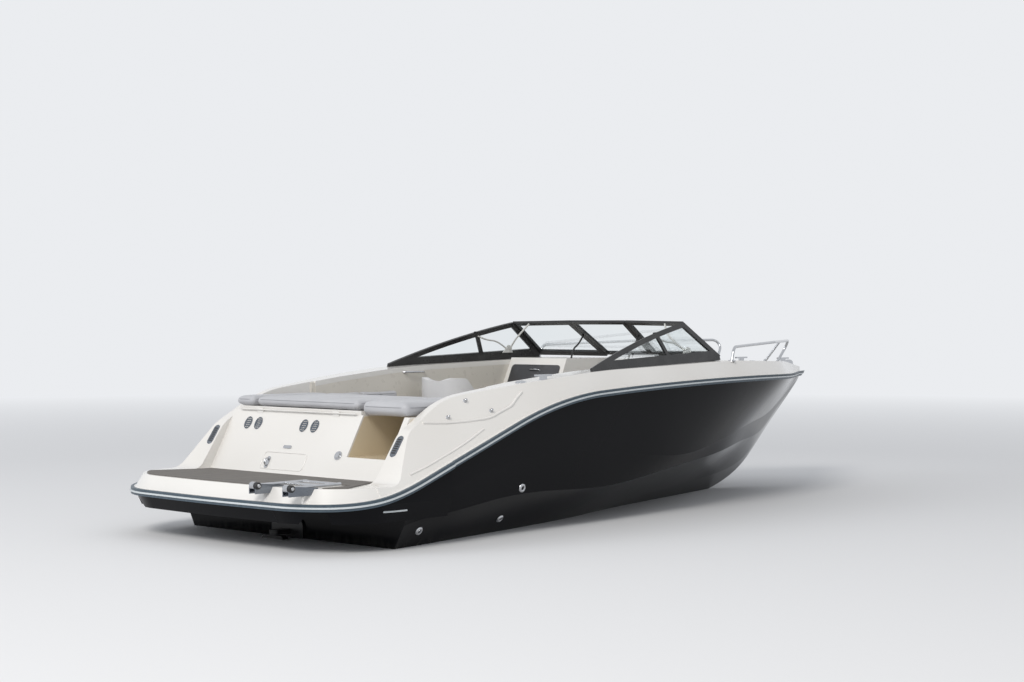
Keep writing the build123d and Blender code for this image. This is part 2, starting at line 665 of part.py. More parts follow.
# Middle pane, hinged on the port post and folding forward over the port pane
middle = [
    Vector(POST_TOP.X, POST_TOP.Y - GAP, POST_TOP.Z), Vector(POST_TOP.X, -POST_TOP.Y + GAP, POST_TOP.Z),
    Vector(POST_FOOT.X, -POST_FOOT.Y + GAP, POST_FOOT.Z), Vector(POST_FOOT.X, POST_FOOT.Y - GAP, POST_FOOT.Z),
]
middle_face = pane_plane(middle[3], middle[2], middle[0])
middle_plate = panel(middle_face, middle, FRAME_DEPTH, 0)
middle_hole = panel(middle_face, middle, FRAME_DEPTH + 2, FRAME_WIDTH - 8)
with BuildPart() as middle_frame:
    add(middle_plate)
    add(middle_hole, mode=Mode.SUBTRACT)
    add([moving for fixed, moving in screen_hinges])
save("screen_door_frame", middle_frame.part)
middle_glass = panel(middle_face, middle, GLASS, FRAME_WIDTH - 8 + CLEAR)
save("screen_door_glass", middle_glass)

# Helm: steering wheel on a raked column
HELM = Vector(3215, -590, 985)      # where the wheel's hub stands off the dash
WHEEL_AXIS = Vector(-0.88, 0, 0.475).normalized()
WHEEL_RADIUS = 180.0
wheel_plane = Plane(origin=HELM + WHEEL_AXIS * 75, x_dir=(0, 1, 0), z_dir=WHEEL_AXIS)
with BuildPart() as steering_wheel:
    across = wheel_plane.x_dir.cross(WHEEL_AXIS)
    with BuildSketch(Plane(origin=wheel_plane.origin, x_dir=WHEEL_AXIS, z_dir=across)):
        with Locations((0, WHEEL_RADIUS - 14)):
            RegularPolygon(14, 8)
    revolve(axis=Axis(wheel_plane.origin, WHEEL_AXIS))
    with BuildSketch(wheel_plane.offset(-12)):
        Circle(48)
    extrude(amount=26)
    for angle in (90, 210, 330):
        with BuildSketch(wheel_plane.offset(-5)):
            with Locations(Rotation(0, 0, angle) * Location((WHEEL_RADIUS / 2, 0, 0))):
                Rectangle(WHEEL_RADIUS - 30, 30)
        extrude(amount=8)
    with BuildSketch(wheel_plane.offset(-62)):
        Circle(16)
    extrude(amount=55)
    with BuildSketch(wheel_plane.offset(-115)):
        Circle(12)
    extrude(amount=60)
save("steering_wheel", steering_wheel.part)
with BuildPart() as helm_column:
    with BuildSketch(wheel_plane.offset(-64)):
        Circle(42)
    extrude(amount=-120, taper=-6)
    add(helm_console, mode=Mode.SUBTRACT)
    with BuildSketch(wheel_plane.offset(-64)):
        Circle(12 + CLEAR)
    extrude(amount=-54, mode=Mode.SUBTRACT)
save("helm_column", helm_column.part)

# Two swivelling bucket seats
SEAT_X = 2350.0
SEAT_Y = 585.0
PEDESTAL_TOP = 610.0
SEAT_LENGTH = 520.0
SEAT_WIDTH = 540.0
SEAT_HEIGHT = 480.0         # top of the shell's back over its underside
SEAT_PAN = 60.0             # thickness of the shell under its cushion
SEAT_WALL = 45.0            # thickness of its back and arms
for side, name in ((1, "port"), (-1, "helm")):
    with BuildPart() as pedestal:
        with BuildSketch(Plane.XY.offset(SOLE + CLEAR)):
            with Locations((SEAT_X, side * SEAT_Y)):
                Circle(150)
        extrude(amount=14)
        with BuildSketch(Plane.XY.offset(SOLE + CLEAR)):
            with Locations((SEAT_X, side * SEAT_Y)):
                Circle(45)
        extrude(amount=PEDESTAL_TOP - SOLE)
    save(f"{name}_seat_pedestal", pedestal.part)
    seat_floor = PEDESTAL_TOP + 2 * CLEAR
    with BuildPart() as shell:
        with BuildSketch(Plane.XY.offset(seat_floor)):
            with Locations((SEAT_X, side * SEAT_Y)):
                RectangleRounded(SEAT_LENGTH, SEAT_WIDTH, 190)
        extrude(amount=SEAT_HEIGHT)
        with BuildSketch(Plane.XY.offset(seat_floor + SEAT_PAN)):
            with Locations((SEAT_X, side * SEAT_Y)):
                RectangleRounded(SEAT_LENGTH - 2 * SEAT_WALL, SEAT_WIDTH - 2 * SEAT_WALL, 190 - SEAT_WALL)
            with Locations((SEAT_X + SEAT_LENGTH / 2, side * SEAT_Y)):
                Rectangle(SEAT_LENGTH / 2, SEAT_WIDTH - 2 * SEAT_WALL)
        extrude(amount=SEAT_HEIGHT, mode=Mode.SUBTRACT)
        with BuildSketch(side_plane(side * SEAT_Y + SEAT_WIDTH)) as seat_side:
            Polygon(
                (SEAT_X - 275, seat_floor + 300), (SEAT_X - 262, seat_floor + SEAT_HEIGHT - 8),
                (SEAT_X - 150, seat_floor + SEAT_HEIGHT - 8), (SEAT_X + 10, seat_floor + 265),
                (SEAT_X + 200, seat_floor + 235), (SEAT_X + 262, seat_floor), (SEAT_X - 190, seat_floor),
                align=None,
            )
            fillet(seat_side.vertices(), radius=40)
        extrude(amount=2 * SEAT_WIDTH, mode=Mode.INTERSECT)
        with BuildSketch(station_plane(SEAT_X - 400)):
            with Locations((side * SEAT_Y, seat_floor + SEAT_HEIGHT + 300)):
                Circle(335)
        extrude(amount=250, mode=Mode.SUBTRACT)
    save(f"{name}_seat_shell", shell.part)
    with BuildPart() as pad:
        with BuildSketch(Plane.XY.offset(PEDESTAL_TOP + 60 + 3 * CLEAR)):
            with Locations((SEAT_X + 30, side * SEAT_Y)):
                RectangleRounded(410, 415, 110)
        extrude(amount=90)
    save(f"{name}_seat_cushion", pad.part)

# Bow cockpit: seats along both sides, meeting forward
BOW_SEAT_LOW = 730.0
BOW_SEAT_TOP = 800.0
bow_plan = well_block(-2, BOW_SOLE + CLEAR, BOW_SEAT_LOW, BULKHEAD + CLEAR, 5600)
bow_aisle = box_between((BULKHEAD - 1, -250, 0), (4950, 250, 2000))
with BuildPart() as bow_base:
    add(bow_plan)
    add(bow_aisle, mode=Mode.SUBTRACT)
    add(liner_inside, mode=Mode.INTERSECT)
save("bow_seat_base", bow_base.part)
bow_cushion_plan = well_block(-12, BOW_SEAT_LOW + 2 * CLEAR, BOW_SEAT_TOP, BULKHEAD + 8, 5380)
with BuildPart() as bow_cushion:
    add(bow_cushion_plan)
    add(bow_aisle, mode=Mode.SUBTRACT)
    add(liner_inside, mode=Mode.INTERSECT)
with BuildPart() as bow_backrests:
    for side in (-1, 1):
        with Locations((BULKHEAD + 41, side * 560, (BOW_SEAT_TOP + 1190) / 2 + CLEAR)):
            Box(80, 520, 1190 - BOW_SEAT_TOP)
    chamfer(bow_backrests.edges(), length=18)
with BuildPart() as bow_cushions:
    add([bow_cushion.part, bow_backrests.part])
save("bow_seat_cushion", bow_cushions.part)

# Bow rails
for side, name in ((1, "port"), (-1, "starboard")):
    path = [
        (3940, side * 1080, 1205), (3990, side * 1072, 1335), (5000, side * 790, 1365),
        (5850, side * 385, 1370), (5700, side * 345, 1160),
    ]
    rail = tube_along(path, TUBE / 2, 70)
    post = tube_along([(5250, side * 500, 1160), (5290, side * 655, 1366)], TUBE / 2 - 2, 0)
    with BuildPart() as bow_rail:
        add([rail, post])
        add(deck.part, mode=Mode.SUBTRACT)
    save(f"bow_rail_{name}", bow_rail.part)

# Sterndrive: transom plate, gimbal ring, drive leg and propeller
PLATE = 16.0
ARM = 32.0                  # thickness of the plate's two arms
ARM_HALF = 40.0
RING_HALF = 85.0            # from the tilt axis to the ring's outer face, above and below
RING_BAR = 33.0
with BuildPart() as transom_plate:
    with BuildSketch(station_plane(-CLEAR)):
        with Locations((0, GIMBAL_Z)):
            RectangleRounded(340, 400, 60)
    extrude(amount=-PLATE)
    for low in (GIMBAL_Z + RING_HALF + 4, GIMBAL_Z - RING_HALF - 4 - ARM):
        with BuildSketch(Plane.XY.offset(low)):
            with Locations((GIMBAL_X / 2 - 8, 0)):
                Rectangle(-GIMBAL_X - 16, 2 * ARM_HALF)
            with Locations((GIMBAL_X, 0)):
                Circle(ARM_HALF)
                Circle(13, mode=Mode.SUBTRACT)
        extrude(amount=ARM)
save("transom_plate", transom_plate.part)
with BuildPart() as gimbal_ring:
    with BuildSketch(station_plane(GIMBAL_X - 25)):
        with Locations((0, GIMBAL_Z)):
            RectangleRounded(240, 2 * RING_HALF, 40)
            RectangleRounded(240 - 2 * RING_BAR, 2 * (RING_HALF - RING_BAR), 12, mode=Mode.SUBTRACT)
    extrude(amount=50)
    with BuildSketch(Plane.XY.offset(GIMBAL_Z - RING_HALF - 30)):
        with Locations((GIMBAL_X, 0)):
            Circle(12.5)
    extrude(amount=31)
    with BuildSketch(Plane.XY.offset(GIMBAL_Z + RING_HALF - 1)):
        with Locations((GIMBAL_X, 0)):
            Circle(12.5)
    extrude(amount=31)
    with BuildSketch(side_plane(-130)):
        with Locations((GIMBAL_X, GIMBAL_Z)):
            Circle(12)
    extrude(amount=-260, mode=Mode.SUBTRACT)
save("gimbal_ring", gimbal_ring.part)
LEG_X = GIMBAL_X - 250
with BuildPart() as drive_leg:
    with BuildSketch(side_plane(80)):
        with Locations((GIMBAL_X, GIMBAL_Z)):
            Circle(42)
    extrude(amount=160)
    with BuildSketch(side_plane(112)):
        with Locations((GIMBAL_X, GIMBAL_Z)):
            Circle(11.5)
    extrude(amount=224)
    with BuildSketch(side_plane(45)):
        Polygon(
            (GIMBAL_X, GIMBAL_Z), (GIMBAL_X - 190, GIMBAL_Z), (GIMBAL_X - 190, GIMBAL_Z - 120),
            (GIMBAL_X - 60, GIMBAL_Z - 46), (GIMBAL_X, GIMBAL_Z - 42), align=None,
        )
    extrude(amount=90)
    for z, nose, tail, half in ((PROP_Z, 115, -110, 30), (GIMBAL_Z - 60, 135, -130, 62)):
        with BuildSketch(Plane.XY.offset(z)):
            with BuildLine():
                ThreePointArc((LEG_X + nose, 0), (LEG_X + 30, half), (LEG_X + tail, 8))
                Line((LEG_X + tail, 8), (LEG_X + tail, -8))
                ThreePointArc((LEG_X + tail, -8), (LEG_X + 30, -half), (LEG_X + nose, 0))
            make_face()
    loft()
    with BuildSketch(Plane.XY.offset(GIMBAL_Z - 60)):
        with Locations((LEG_X, 0)):
            RectangleRounded(180, 130, 55)
    extrude(amount=115)
    with BuildSketch(Plane.XY.offset(-400)):
        with Locations((LEG_X - 70, 0)):
            RectangleRounded(400, 250, 100)
    extrude(amount=12)
    with BuildSketch(Plane.XZ):
        with BuildLine():
            Polyline((LEG_X - 130, PROP_Z), (LEG_X - 130, PROP_Z - 52), (LEG_X + 70, PROP_Z - 50))
            ThreePointArc((LEG_X + 70, PROP_Z - 50), (LEG_X + 125, PROP_Z - 30), (LEG_X + 165, PROP_Z))
            Line((LEG_X + 165, PROP_Z), (LEG_X - 130, PROP_Z))
        make_face()
    revolve(axis=Axis((0, 0, PROP_Z), (1, 0, 0)))
    with BuildSketch(station_plane(LEG_X - 129)):
        with Locations((0, PROP_Z)):
            Circle(15)
    extrude(amount=-97)
    with BuildSketch(side_plane(7)):
        Polygon(
            (LEG_X - 110, PROP_Z), (LEG_X - 90, PROP_Z - 190), (LEG_X - 20, PROP_Z - 190),
            (LEG_X + 100, PROP_Z), align=None,
        )
    extrude(amount=14)
save("drive_leg", drive_leg.part)
HUB_FRONT = LEG_X - 130 - RUN
HUB_LENGTH = 105.0
PITCH = 480.0               # how far the propeller would screw forward in one turn
BLADES = 3
RAKE = 0.12                 # how far the blades lean aft for each unit of radius

# Blade sections from the hub outward. Columns: radius, chord and thickness
BLADE = ((30, 96, 15), (75, 132, 10.5), (130, 138, 7), (170, 98, 4.5), (PROP_RADIUS, 34, 3))


def blade_solid():
    """One blade pointing up from the shaft, its sections twisted to the propeller's pitch."""
    with BuildPart() as blade:
        for radius, chord, thick in BLADE:
            twist = math.atan(PITCH / (2 * math.pi * radius))
            across = Vector(-math.sin(twist), math.cos(twist), 0)
            middle = Vector(HUB_FRONT - HUB_LENGTH / 2 - RAKE * radius, 0, PROP_Z + radius)
            with BuildSketch(Plane(origin=middle, x_dir=across, z_dir=(0, 0, 1))):
                with BuildLine():
                    ThreePointArc((-chord / 2, 0), (0, 1.2 * thick), (chord / 2, 0))
                    ThreePointArc((chord / 2, 0), (0, 0.2 * thick), (-chord / 2, 0))
                make_face()
        loft()
    return blade.part


blade = blade_solid()
shaft_line = Axis((0, 0, PROP_Z), (1, 0, 0))
with BuildPart() as propeller:
    with BuildSketch(station_plane(HUB_FRONT)):
        with Locations((0, PROP_Z)):
            Circle(50)
    extrude(amount=-HUB_LENGTH, taper=4)
    add([blade.rotate(shaft_line, 360 / BLADES * k) for k in range(BLADES)])
    with BuildSketch(station_plane(HUB_FRONT)):
        with Locations((0, PROP_Z)):
            Circle(15 + CLEAR)
    extrude(amount=-92, mode=Mode.SUBTRACT)
save("propeller", propeller.part)

# Boarding ladder in its recess: two tubes that turn about a pin at the platform's aft edge
LADDER_PIN = (-PLATFORM_AFT - 40, 455.0)
ladder_y = (-900.0, -560.0)
RUNGS = (270.0, 430.0)      # the rungs' places along the tubes
BRACKET = 235.0             # how far the brackets run forward of the pin
with BuildPart() as ladder:
    for y in ladder_y:
        with BuildSketch(station_plane(LADDER_PIN[0] + 15)):
            with Locations((y, LADDER_PIN[1])):
                Circle(12.5)
        extrude(amount=450)
        with BuildSketch(side_plane(y + 22)):
            with Locations(LADDER_PIN):
                Circle(26)
        extrude(amount=44)
        with BuildSketch(side_plane(y + 22)):
            with Locations(LADDER_PIN):
                Circle(8.5)
        extrude(amount=44, mode=Mode.SUBTRACT)
    for rung in RUNGS:
        with BuildSketch(side_plane(ladder_y[1])):
            with Locations((LADDER_PIN[0] + rung, LADDER_PIN[1])):
                Circle(12)
        extrude(amount=ladder_y[1] - ladder_y[0])
save("ladder", ladder.part)
with BuildPart() as ladder_brackets:
    for y in ladder_y:
        for edge in (-34, 26):
            with BuildSketch(side_plane(y + edge + 8)):
                with BuildLine():
                    Polyline(
                        (LADDER_PIN[0] - 16, LADDER_PIN[1] + 16), (LADDER_PIN[0] + BRACKET, PLATFORM_TOP + 8),
                        (LADDER_PIN[0] + BRACKET, 400), (LADDER_PIN[0] - 16, 400), close=True,
                    )
                make_face()
            extrude(amount=8)
        with BuildSketch(side_plane(y + 34)):
            with Locations(LADDER_PIN):
                Circle(8)
        extrude(amount=68)
    add(deck.part, mode=Mode.SUBTRACT)
save("ladder_brackets", ladder_brackets.part)

# Through-hull outlets, transom vents and the other metal fittings of the hull and deck
FACE_UP = Vector(TRANSOM_HEAD - TRANSOM_FOOT, 0, SUNPAD_DECK - PLATFORM_TOP).normalized()
FACE_OUT = Vector(-FACE_UP.Z, 0, FACE_UP.X)


def on_transom(y, z):
    """A plane on the transom's sloping face whose local y runs up the slope."""
    x = TRANSOM_FOOT + (z - PLATFORM_TOP) * FACE_UP.X / FACE_UP.Z
    return Plane(origin=Vector(x, y, z) + FACE_OUT * CLEAR, x_dir=(0, -1, 0), z_dir=FACE_OUT)


def on_side(x, z, side):
    """A plane on the hull's side, facing out."""
    here = Vector(x, side * half_beam(x, z), z)
    fore = Vector(x + 60, side * half_beam(x + 60, z), z) - here
    up = Vector(x, side * half_beam(x, z + 40), z + 40) - here
    out = fore.cross(up).normalized()
    if out.Y * side < 0:
        out = -out
    return Plane(origin=here, x_dir=fore, z_dir=out)


VENTS_Y = (730, 612, 98, -22)       # middles of the louvred oval vents
VENTS_Z = SUNPAD_DECK - 95.0
# Outlets on the starboard side. Columns: x, z and outer radius
OUTLETS = ((200, 112, 22), (1155, 110, 34), (1208, 341, 22))
OUTLET_SEAT = 14.0          # depth that the outlets' rings are let in before the hull is cut away
with BuildPart() as fittings:
    for y in VENTS_Y:
        with BuildSketch(on_transom(y, VENTS_Z)):
            Ellipse(38, 50)
            with GridLocations(0, 17, 1, 5):
                SlotOverall(52, 7, mode=Mode.SUBTRACT)
        extrude(amount=6)
    with BuildSketch(on_transom(-390, 595)):
        Circle(34)
    extrude(amount=7)
    with BuildSketch(on_transom(-390, 595).offset(7)):
        Circle(24)
    extrude(amount=7, taper=20)
    with BuildSketch(on_transom(180, 630)):
        SlotOverall(88, 24)
    extrude(amount=6)
    with BuildSketch(on_transom(330, 515)):
        SlotOverall(96, 36, rotation=90)
    extrude(amount=6)
    eye = on_transom(330, 515)
    eye_end = eye.origin + eye.z_dir * 5 + eye.y_dir * 26
    with BuildSketch(Plane(origin=eye_end, x_dir=eye.x_dir, z_dir=eye.z_dir)):
        Circle(7)
    revolve(axis=Axis(eye.origin + eye.z_dir * 5, eye.x_dir), revolution_arc=180)
    for x, z, radius in OUTLETS:
        with BuildSketch(on_side(x, z, -1).offset(-OUTLET_SEAT)):
            Circle(radius)
            Circle(radius * 0.55, mode=Mode.SUBTRACT)
        extrude(amount=OUTLET_SEAT + 7, taper=12)
    add(hull.part, mode=Mode.SUBTRACT)
save("fittings", fittings.part)

# Deck fittings: cleats, stern eyes and bow eye, vents, outlets, anchor hatch
cleats = []
for x, y, z in ((5960, 240, 1166), (5960, -240, 1166), (2290, 1152, 1178), (1500, -1120, 1119)):
    foot_z = z - 20
    cleats.append(box_between((x - 30, y - 12, foot_z), (x + 30, y + 12, z + 26)))
    cleats.append(box_between((x - 90, y - 9, z + 26), (x + 90, y + 9, z + 40)))
with BuildPart() as cleat_set:
    add(cleats)
    add(deck.part, mode=Mode.SUBTRACT)
save("cleats", cleat_set.part)
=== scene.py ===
"""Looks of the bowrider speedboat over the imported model.

Materials, upholstery, fittings, camera, floor and light. Sizes are in metres. +X is the bow, +Y is port and
+Z is up, and the origin is on the centreline, at the transom and the waterline.
"""
import json
import math

import bmesh
import bpy
from mathutils import Matrix, Vector
from mathutils.bvhtree import BVHTree


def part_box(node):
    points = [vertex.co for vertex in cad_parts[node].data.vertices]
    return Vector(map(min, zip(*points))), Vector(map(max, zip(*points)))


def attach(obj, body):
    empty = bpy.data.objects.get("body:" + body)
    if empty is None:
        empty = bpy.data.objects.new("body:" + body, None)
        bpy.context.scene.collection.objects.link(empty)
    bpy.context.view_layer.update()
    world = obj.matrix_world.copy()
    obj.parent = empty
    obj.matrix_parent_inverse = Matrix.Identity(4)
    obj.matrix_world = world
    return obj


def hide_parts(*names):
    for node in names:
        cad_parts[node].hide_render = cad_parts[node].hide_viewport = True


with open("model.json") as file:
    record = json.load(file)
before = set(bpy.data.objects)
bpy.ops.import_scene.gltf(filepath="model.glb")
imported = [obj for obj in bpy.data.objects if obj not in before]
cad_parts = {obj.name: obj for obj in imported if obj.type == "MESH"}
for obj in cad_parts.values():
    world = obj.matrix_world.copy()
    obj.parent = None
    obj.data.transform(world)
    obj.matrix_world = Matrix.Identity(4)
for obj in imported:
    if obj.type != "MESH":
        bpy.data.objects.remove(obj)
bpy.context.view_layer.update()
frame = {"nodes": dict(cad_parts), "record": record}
nodes = frame["nodes"]
scene = bpy.context.scene

SIDES = ((1, "port"), (-1, "starboard"))
UP = (0, 0, 1)
AHEAD = (1, 0, 0)
TO_PORT = (0, 1, 0)
TO_STARBOARD = (0, -1, 0)


# Materials
class Shader:
    """A small wrapper that adds nodes to a new material."""

    INPUTS = {
        "color": "Base Color", "metallic": "Metallic", "roughness": "Roughness", "ior": "IOR",
        "alpha": "Alpha", "coat": "Coat Weight", "coat_roughness": "Coat Roughness",
        "sheen": "Sheen Weight", "sheen_roughness": "Sheen Roughness", "specular": "Specular IOR Level",
        "transmission": "Transmission Weight", "normal": "Normal",
    }

    def __init__(self, name):
        self.material = bpy.data.materials.new(name)
        self.material.use_nodes = True
        self.tree = self.material.node_tree
        self.surface = self.tree.nodes["Principled BSDF"]

    def add(self, kind, inputs=None, **settings):
        made = self.tree.nodes.new(kind)
        for key, value in settings.items():
            setattr(made, key, value)
        for key, value in (inputs or {}).items():
            self.put(made.inputs[key], value)
        return made

    def put(self, socket, value):
        if isinstance(value, bpy.types.NodeSocket):
            self.tree.links.new(value, socket)
        else:
            socket.default_value = value

    def set(self, **values):
        for key, value in values.items():
            self.put(self.surface.inputs[self.INPUTS[key]], value)

    def coords(self, stretch=(1, 1, 1)):
        """The object's own coordinates, each scaled."""
        place = self.add("ShaderNodeTexCoord").outputs["Object"]
        return self.add("ShaderNodeMapping", {"Vector": place, "Scale": stretch}).outputs["Vector"]

    def axes(self):
        """The object's own x, y and z."""
        return self.add("ShaderNodeSeparateXYZ", {"Vector": self.coords()}).outputs

    def calculate(self, operation, *values):
        return self.add("ShaderNodeMath", dict(enumerate(values)), operation=operation).outputs[0]

    def noise(self, scale, detail, stretch=(1, 1, 1)):
        return self.add(
            "ShaderNodeTexNoise", {"Vector": self.coords(stretch), "Scale": scale, "Detail": detail}
        ).outputs["Fac"]

    def ramp(self, value, low, high, to_low, to_high):
        return self.add(
            "ShaderNodeMapRange",
            {"Value": value, "From Min": low, "From Max": high, "To Min": to_low, "To Max": to_high},
        ).outputs["Result"]

    def mix(self, factor, first, second):
        """A colour between two: the node's colours are its inputs 6 and 7 and its output 2."""
        return self.add("ShaderNodeMix", {0: factor, 6: first, 7: second}, data_type="RGBA").outputs[2]

    def bump(self, height, strength, distance):
        return self.add(
            "ShaderNodeBump", {"Height": height, "Strength": strength, "Distance": distance}
        ).outputs["Normal"]


def rgb(red, green, blue):
    return (red, green, blue, 1.0)


TRANSOM_LEAN = 0.557                # the transom's face comes this far forward for each metre of height
MASK_START = (-0.195, -0.185)       # x at the waterline of the parallel planes between which the mask grows
MASK_EDGE = 0.004                   # half the width over which it fades at the box's faces


def inside(shader, low, high):
    """A mask that is 1 within a box of the boat, ahead of the sloping transom, and 0 outside it."""
    places = shader.axes()
    foot = shader.calculate("MULTIPLY_ADD", places[2], -TRANSOM_LEAN, places[0])
    mask = shader.ramp(foot, *MASK_START, 0.0, 1.0)
    for place, least, most in zip(places, low, high):
        for edge, start, end in ((least, 0.0, 1.0), (most, 1.0, 0.0)):
            side = shader.ramp(place, edge - MASK_EDGE, edge + MASK_EDGE, start, end)
            mask = shader.calculate("MULTIPLY", mask, side)
    return mask


def gelcoat(name, base, stain, roughness, coat, box=None, tint=None):
    """Moulded gelcoat with faint stains; within a box its colour becomes a darker, warmer one."""
    shader = Shader(name)
    colour = shader.mix(shader.ramp(shader.noise(1.2, 1), 0.35, 0.7, 0, 1), base, stain)
    if box:
        colour = shader.mix(inside(shader, *box), colour, tint)
    shader.set(
        color=colour,
        roughness=shader.ramp(shader.noise(14, 3), 0.3, 0.7, roughness * 0.8, roughness * 1.3),
        coat=coat, coat_roughness=0.08,
        normal=shader.bump(shader.noise(60, 2), 0.04, 0.002),
    )
    return shader.material


def hull_gelcoat():
    """Black polished gelcoat with dried water marks just above the waterline."""
    shader = Shader("hull_gelcoat")
    low_down = shader.ramp(shader.axes()["Z"], 0.02, 0.16, 1.0, 0.0)
    marks = shader.calculate("MULTIPLY", low_down, shader.noise(22, 5, (1, 1, 0.35)))
    shader.set(
        color=shader.mix(
            shader.ramp(marks, 0.35, 0.75, 0, 0.5), rgb(0.006, 0.0062, 0.0075), rgb(0.05, 0.05, 0.046)
        ),
        roughness=shader.ramp(shader.noise(9, 4), 0.3, 0.7, 0.06, 0.11),
        specular=0.09,
        normal=shader.bump(shader.noise(3.2, 2), 0.05, 0.01),
    )
    return shader.material


def rubber(name, base, worn, roughness):
    """Soft vinyl or rubber, a little paler where it is rubbed."""
    shader = Shader(name)
    shader.set(
        color=shader.mix(shader.ramp(shader.noise(30, 4), 0.35, 0.75, 0, 1), base, worn),
        roughness=shader.ramp(shader.noise(80, 3), 0.3, 0.7, roughness - 0.08, roughness + 0.1),
        normal=shader.bump(shader.noise(400, 2), 0.15, 0.0006),
    )
    return shader.material


PLANK_HALF = 0.062          # half the distance between two grooves of the decking
GROOVE = 0.0028             # half a groove's width


def decking():
    """Grey-brown foam decking, brushed fore and aft, with planks ruled by fine grooves."""
    shader = Shader("mat_foam")
    ridge = shader.calculate("PINGPONG", shader.axes()["Y"], PLANK_HALF)
    grain = shader.noise(55, 5, (0.12, 1, 1))
    colour = shader.mix(
        shader.ramp(grain, 0.3, 0.7, 0, 1), rgb(0.125, 0.116, 0.108), rgb(0.18, 0.168, 0.156)
    )
    shader.set(
        color=shader.mix(shader.ramp(ridge, 0.0, GROOVE, 1.0, 0.0), colour, rgb(0.05, 0.046, 0.042)),
        roughness=shader.ramp(grain, 0.3, 0.7, 0.75, 0.92),
        normal=shader.bump(shader.noise(500, 3), 0.35, 0.001),
    )
    return shader.material


def vinyl(name, base, shade):
    """Marine vinyl: a fine pebble grain, soft gloss and slow changes of tone."""
    shader = Shader(name)
    pebble = shader.add(
        "ShaderNodeTexVoronoi",
        {"Vector": shader.coords(), "Scale": 480.0, "Randomness": 0.9},
        feature="SMOOTH_F1",
    ).outputs["Distance"]
    shader.set(
        color=shader.mix(shader.ramp(shader.noise(4.5, 4), 0.35, 0.7, 0, 1), base, shade),
        roughness=shader.ramp(shader.noise(40, 3), 0.3, 0.7, 0.38, 0.5),
        sheen=0.12, sheen_roughness=0.4, specular=0.4,
        normal=shader.bump(pebble, 0.12, 0.0008),
    )
    return shader.material


def metal(name, base, roughness, upper=None, height=0.0):
    """Polished metal with fine scratches; above a height it may have another colour."""
    shader = Shader(name)
    darker = tuple(0.88 * share for share in base[:3]) + (1.0,)
    colour = shader.mix(shader.ramp(shader.noise(12, 3), 0.3, 0.7, 0, 1), base, darker)
    if upper:
        above = shader.ramp(shader.axes()["Z"], height - 0.01, height + 0.01, 0.0, 1.0)
        colour = shader.mix(above, colour, upper)
    shader.set(
        color=colour,
        metallic=1.0,
        roughness=shader.ramp(shader.noise(160, 3), 0.3, 0.7, roughness * 0.6, roughness * 1.5),
        normal=shader.bump(shader.noise(260, 2), 0.03, 0.0006),
    )
    return shader.material


def coated(name, base, worn, roughness):
    """Paint or plastic with a faint grain and slightly paler rubbed places."""
    shader = Shader(name)
    shader.set(
        color=shader.mix(shader.ramp(shader.noise(7, 5), 0.45, 0.8, 0, 1), base, worn),
        roughness=shader.ramp(shader.noise(60, 3), 0.3, 0.7, roughness * 0.8, roughness * 1.25),
        normal=shader.bump(shader.noise(320, 2), 0.06, 0.0006),
    )
    return shader.material


def safety_glass():
    """Thin clear glass with a faint green tone."""
    shader = Shader("screen_glass")
    shader.set(
        color=shader.mix(
            shader.ramp(shader.noise(2, 3), 0.3, 0.7, 0, 1), rgb(0.80, 0.86, 0.86), rgb(0.74, 0.82, 0.83)
        ),
        roughness=shader.ramp(shader.noise(5, 3), 0.3, 0.7, 0.0, 0.02),
        transmission=1.0, ior=1.02, alpha=0.35, specular=0.6,
    )
    return shader.material
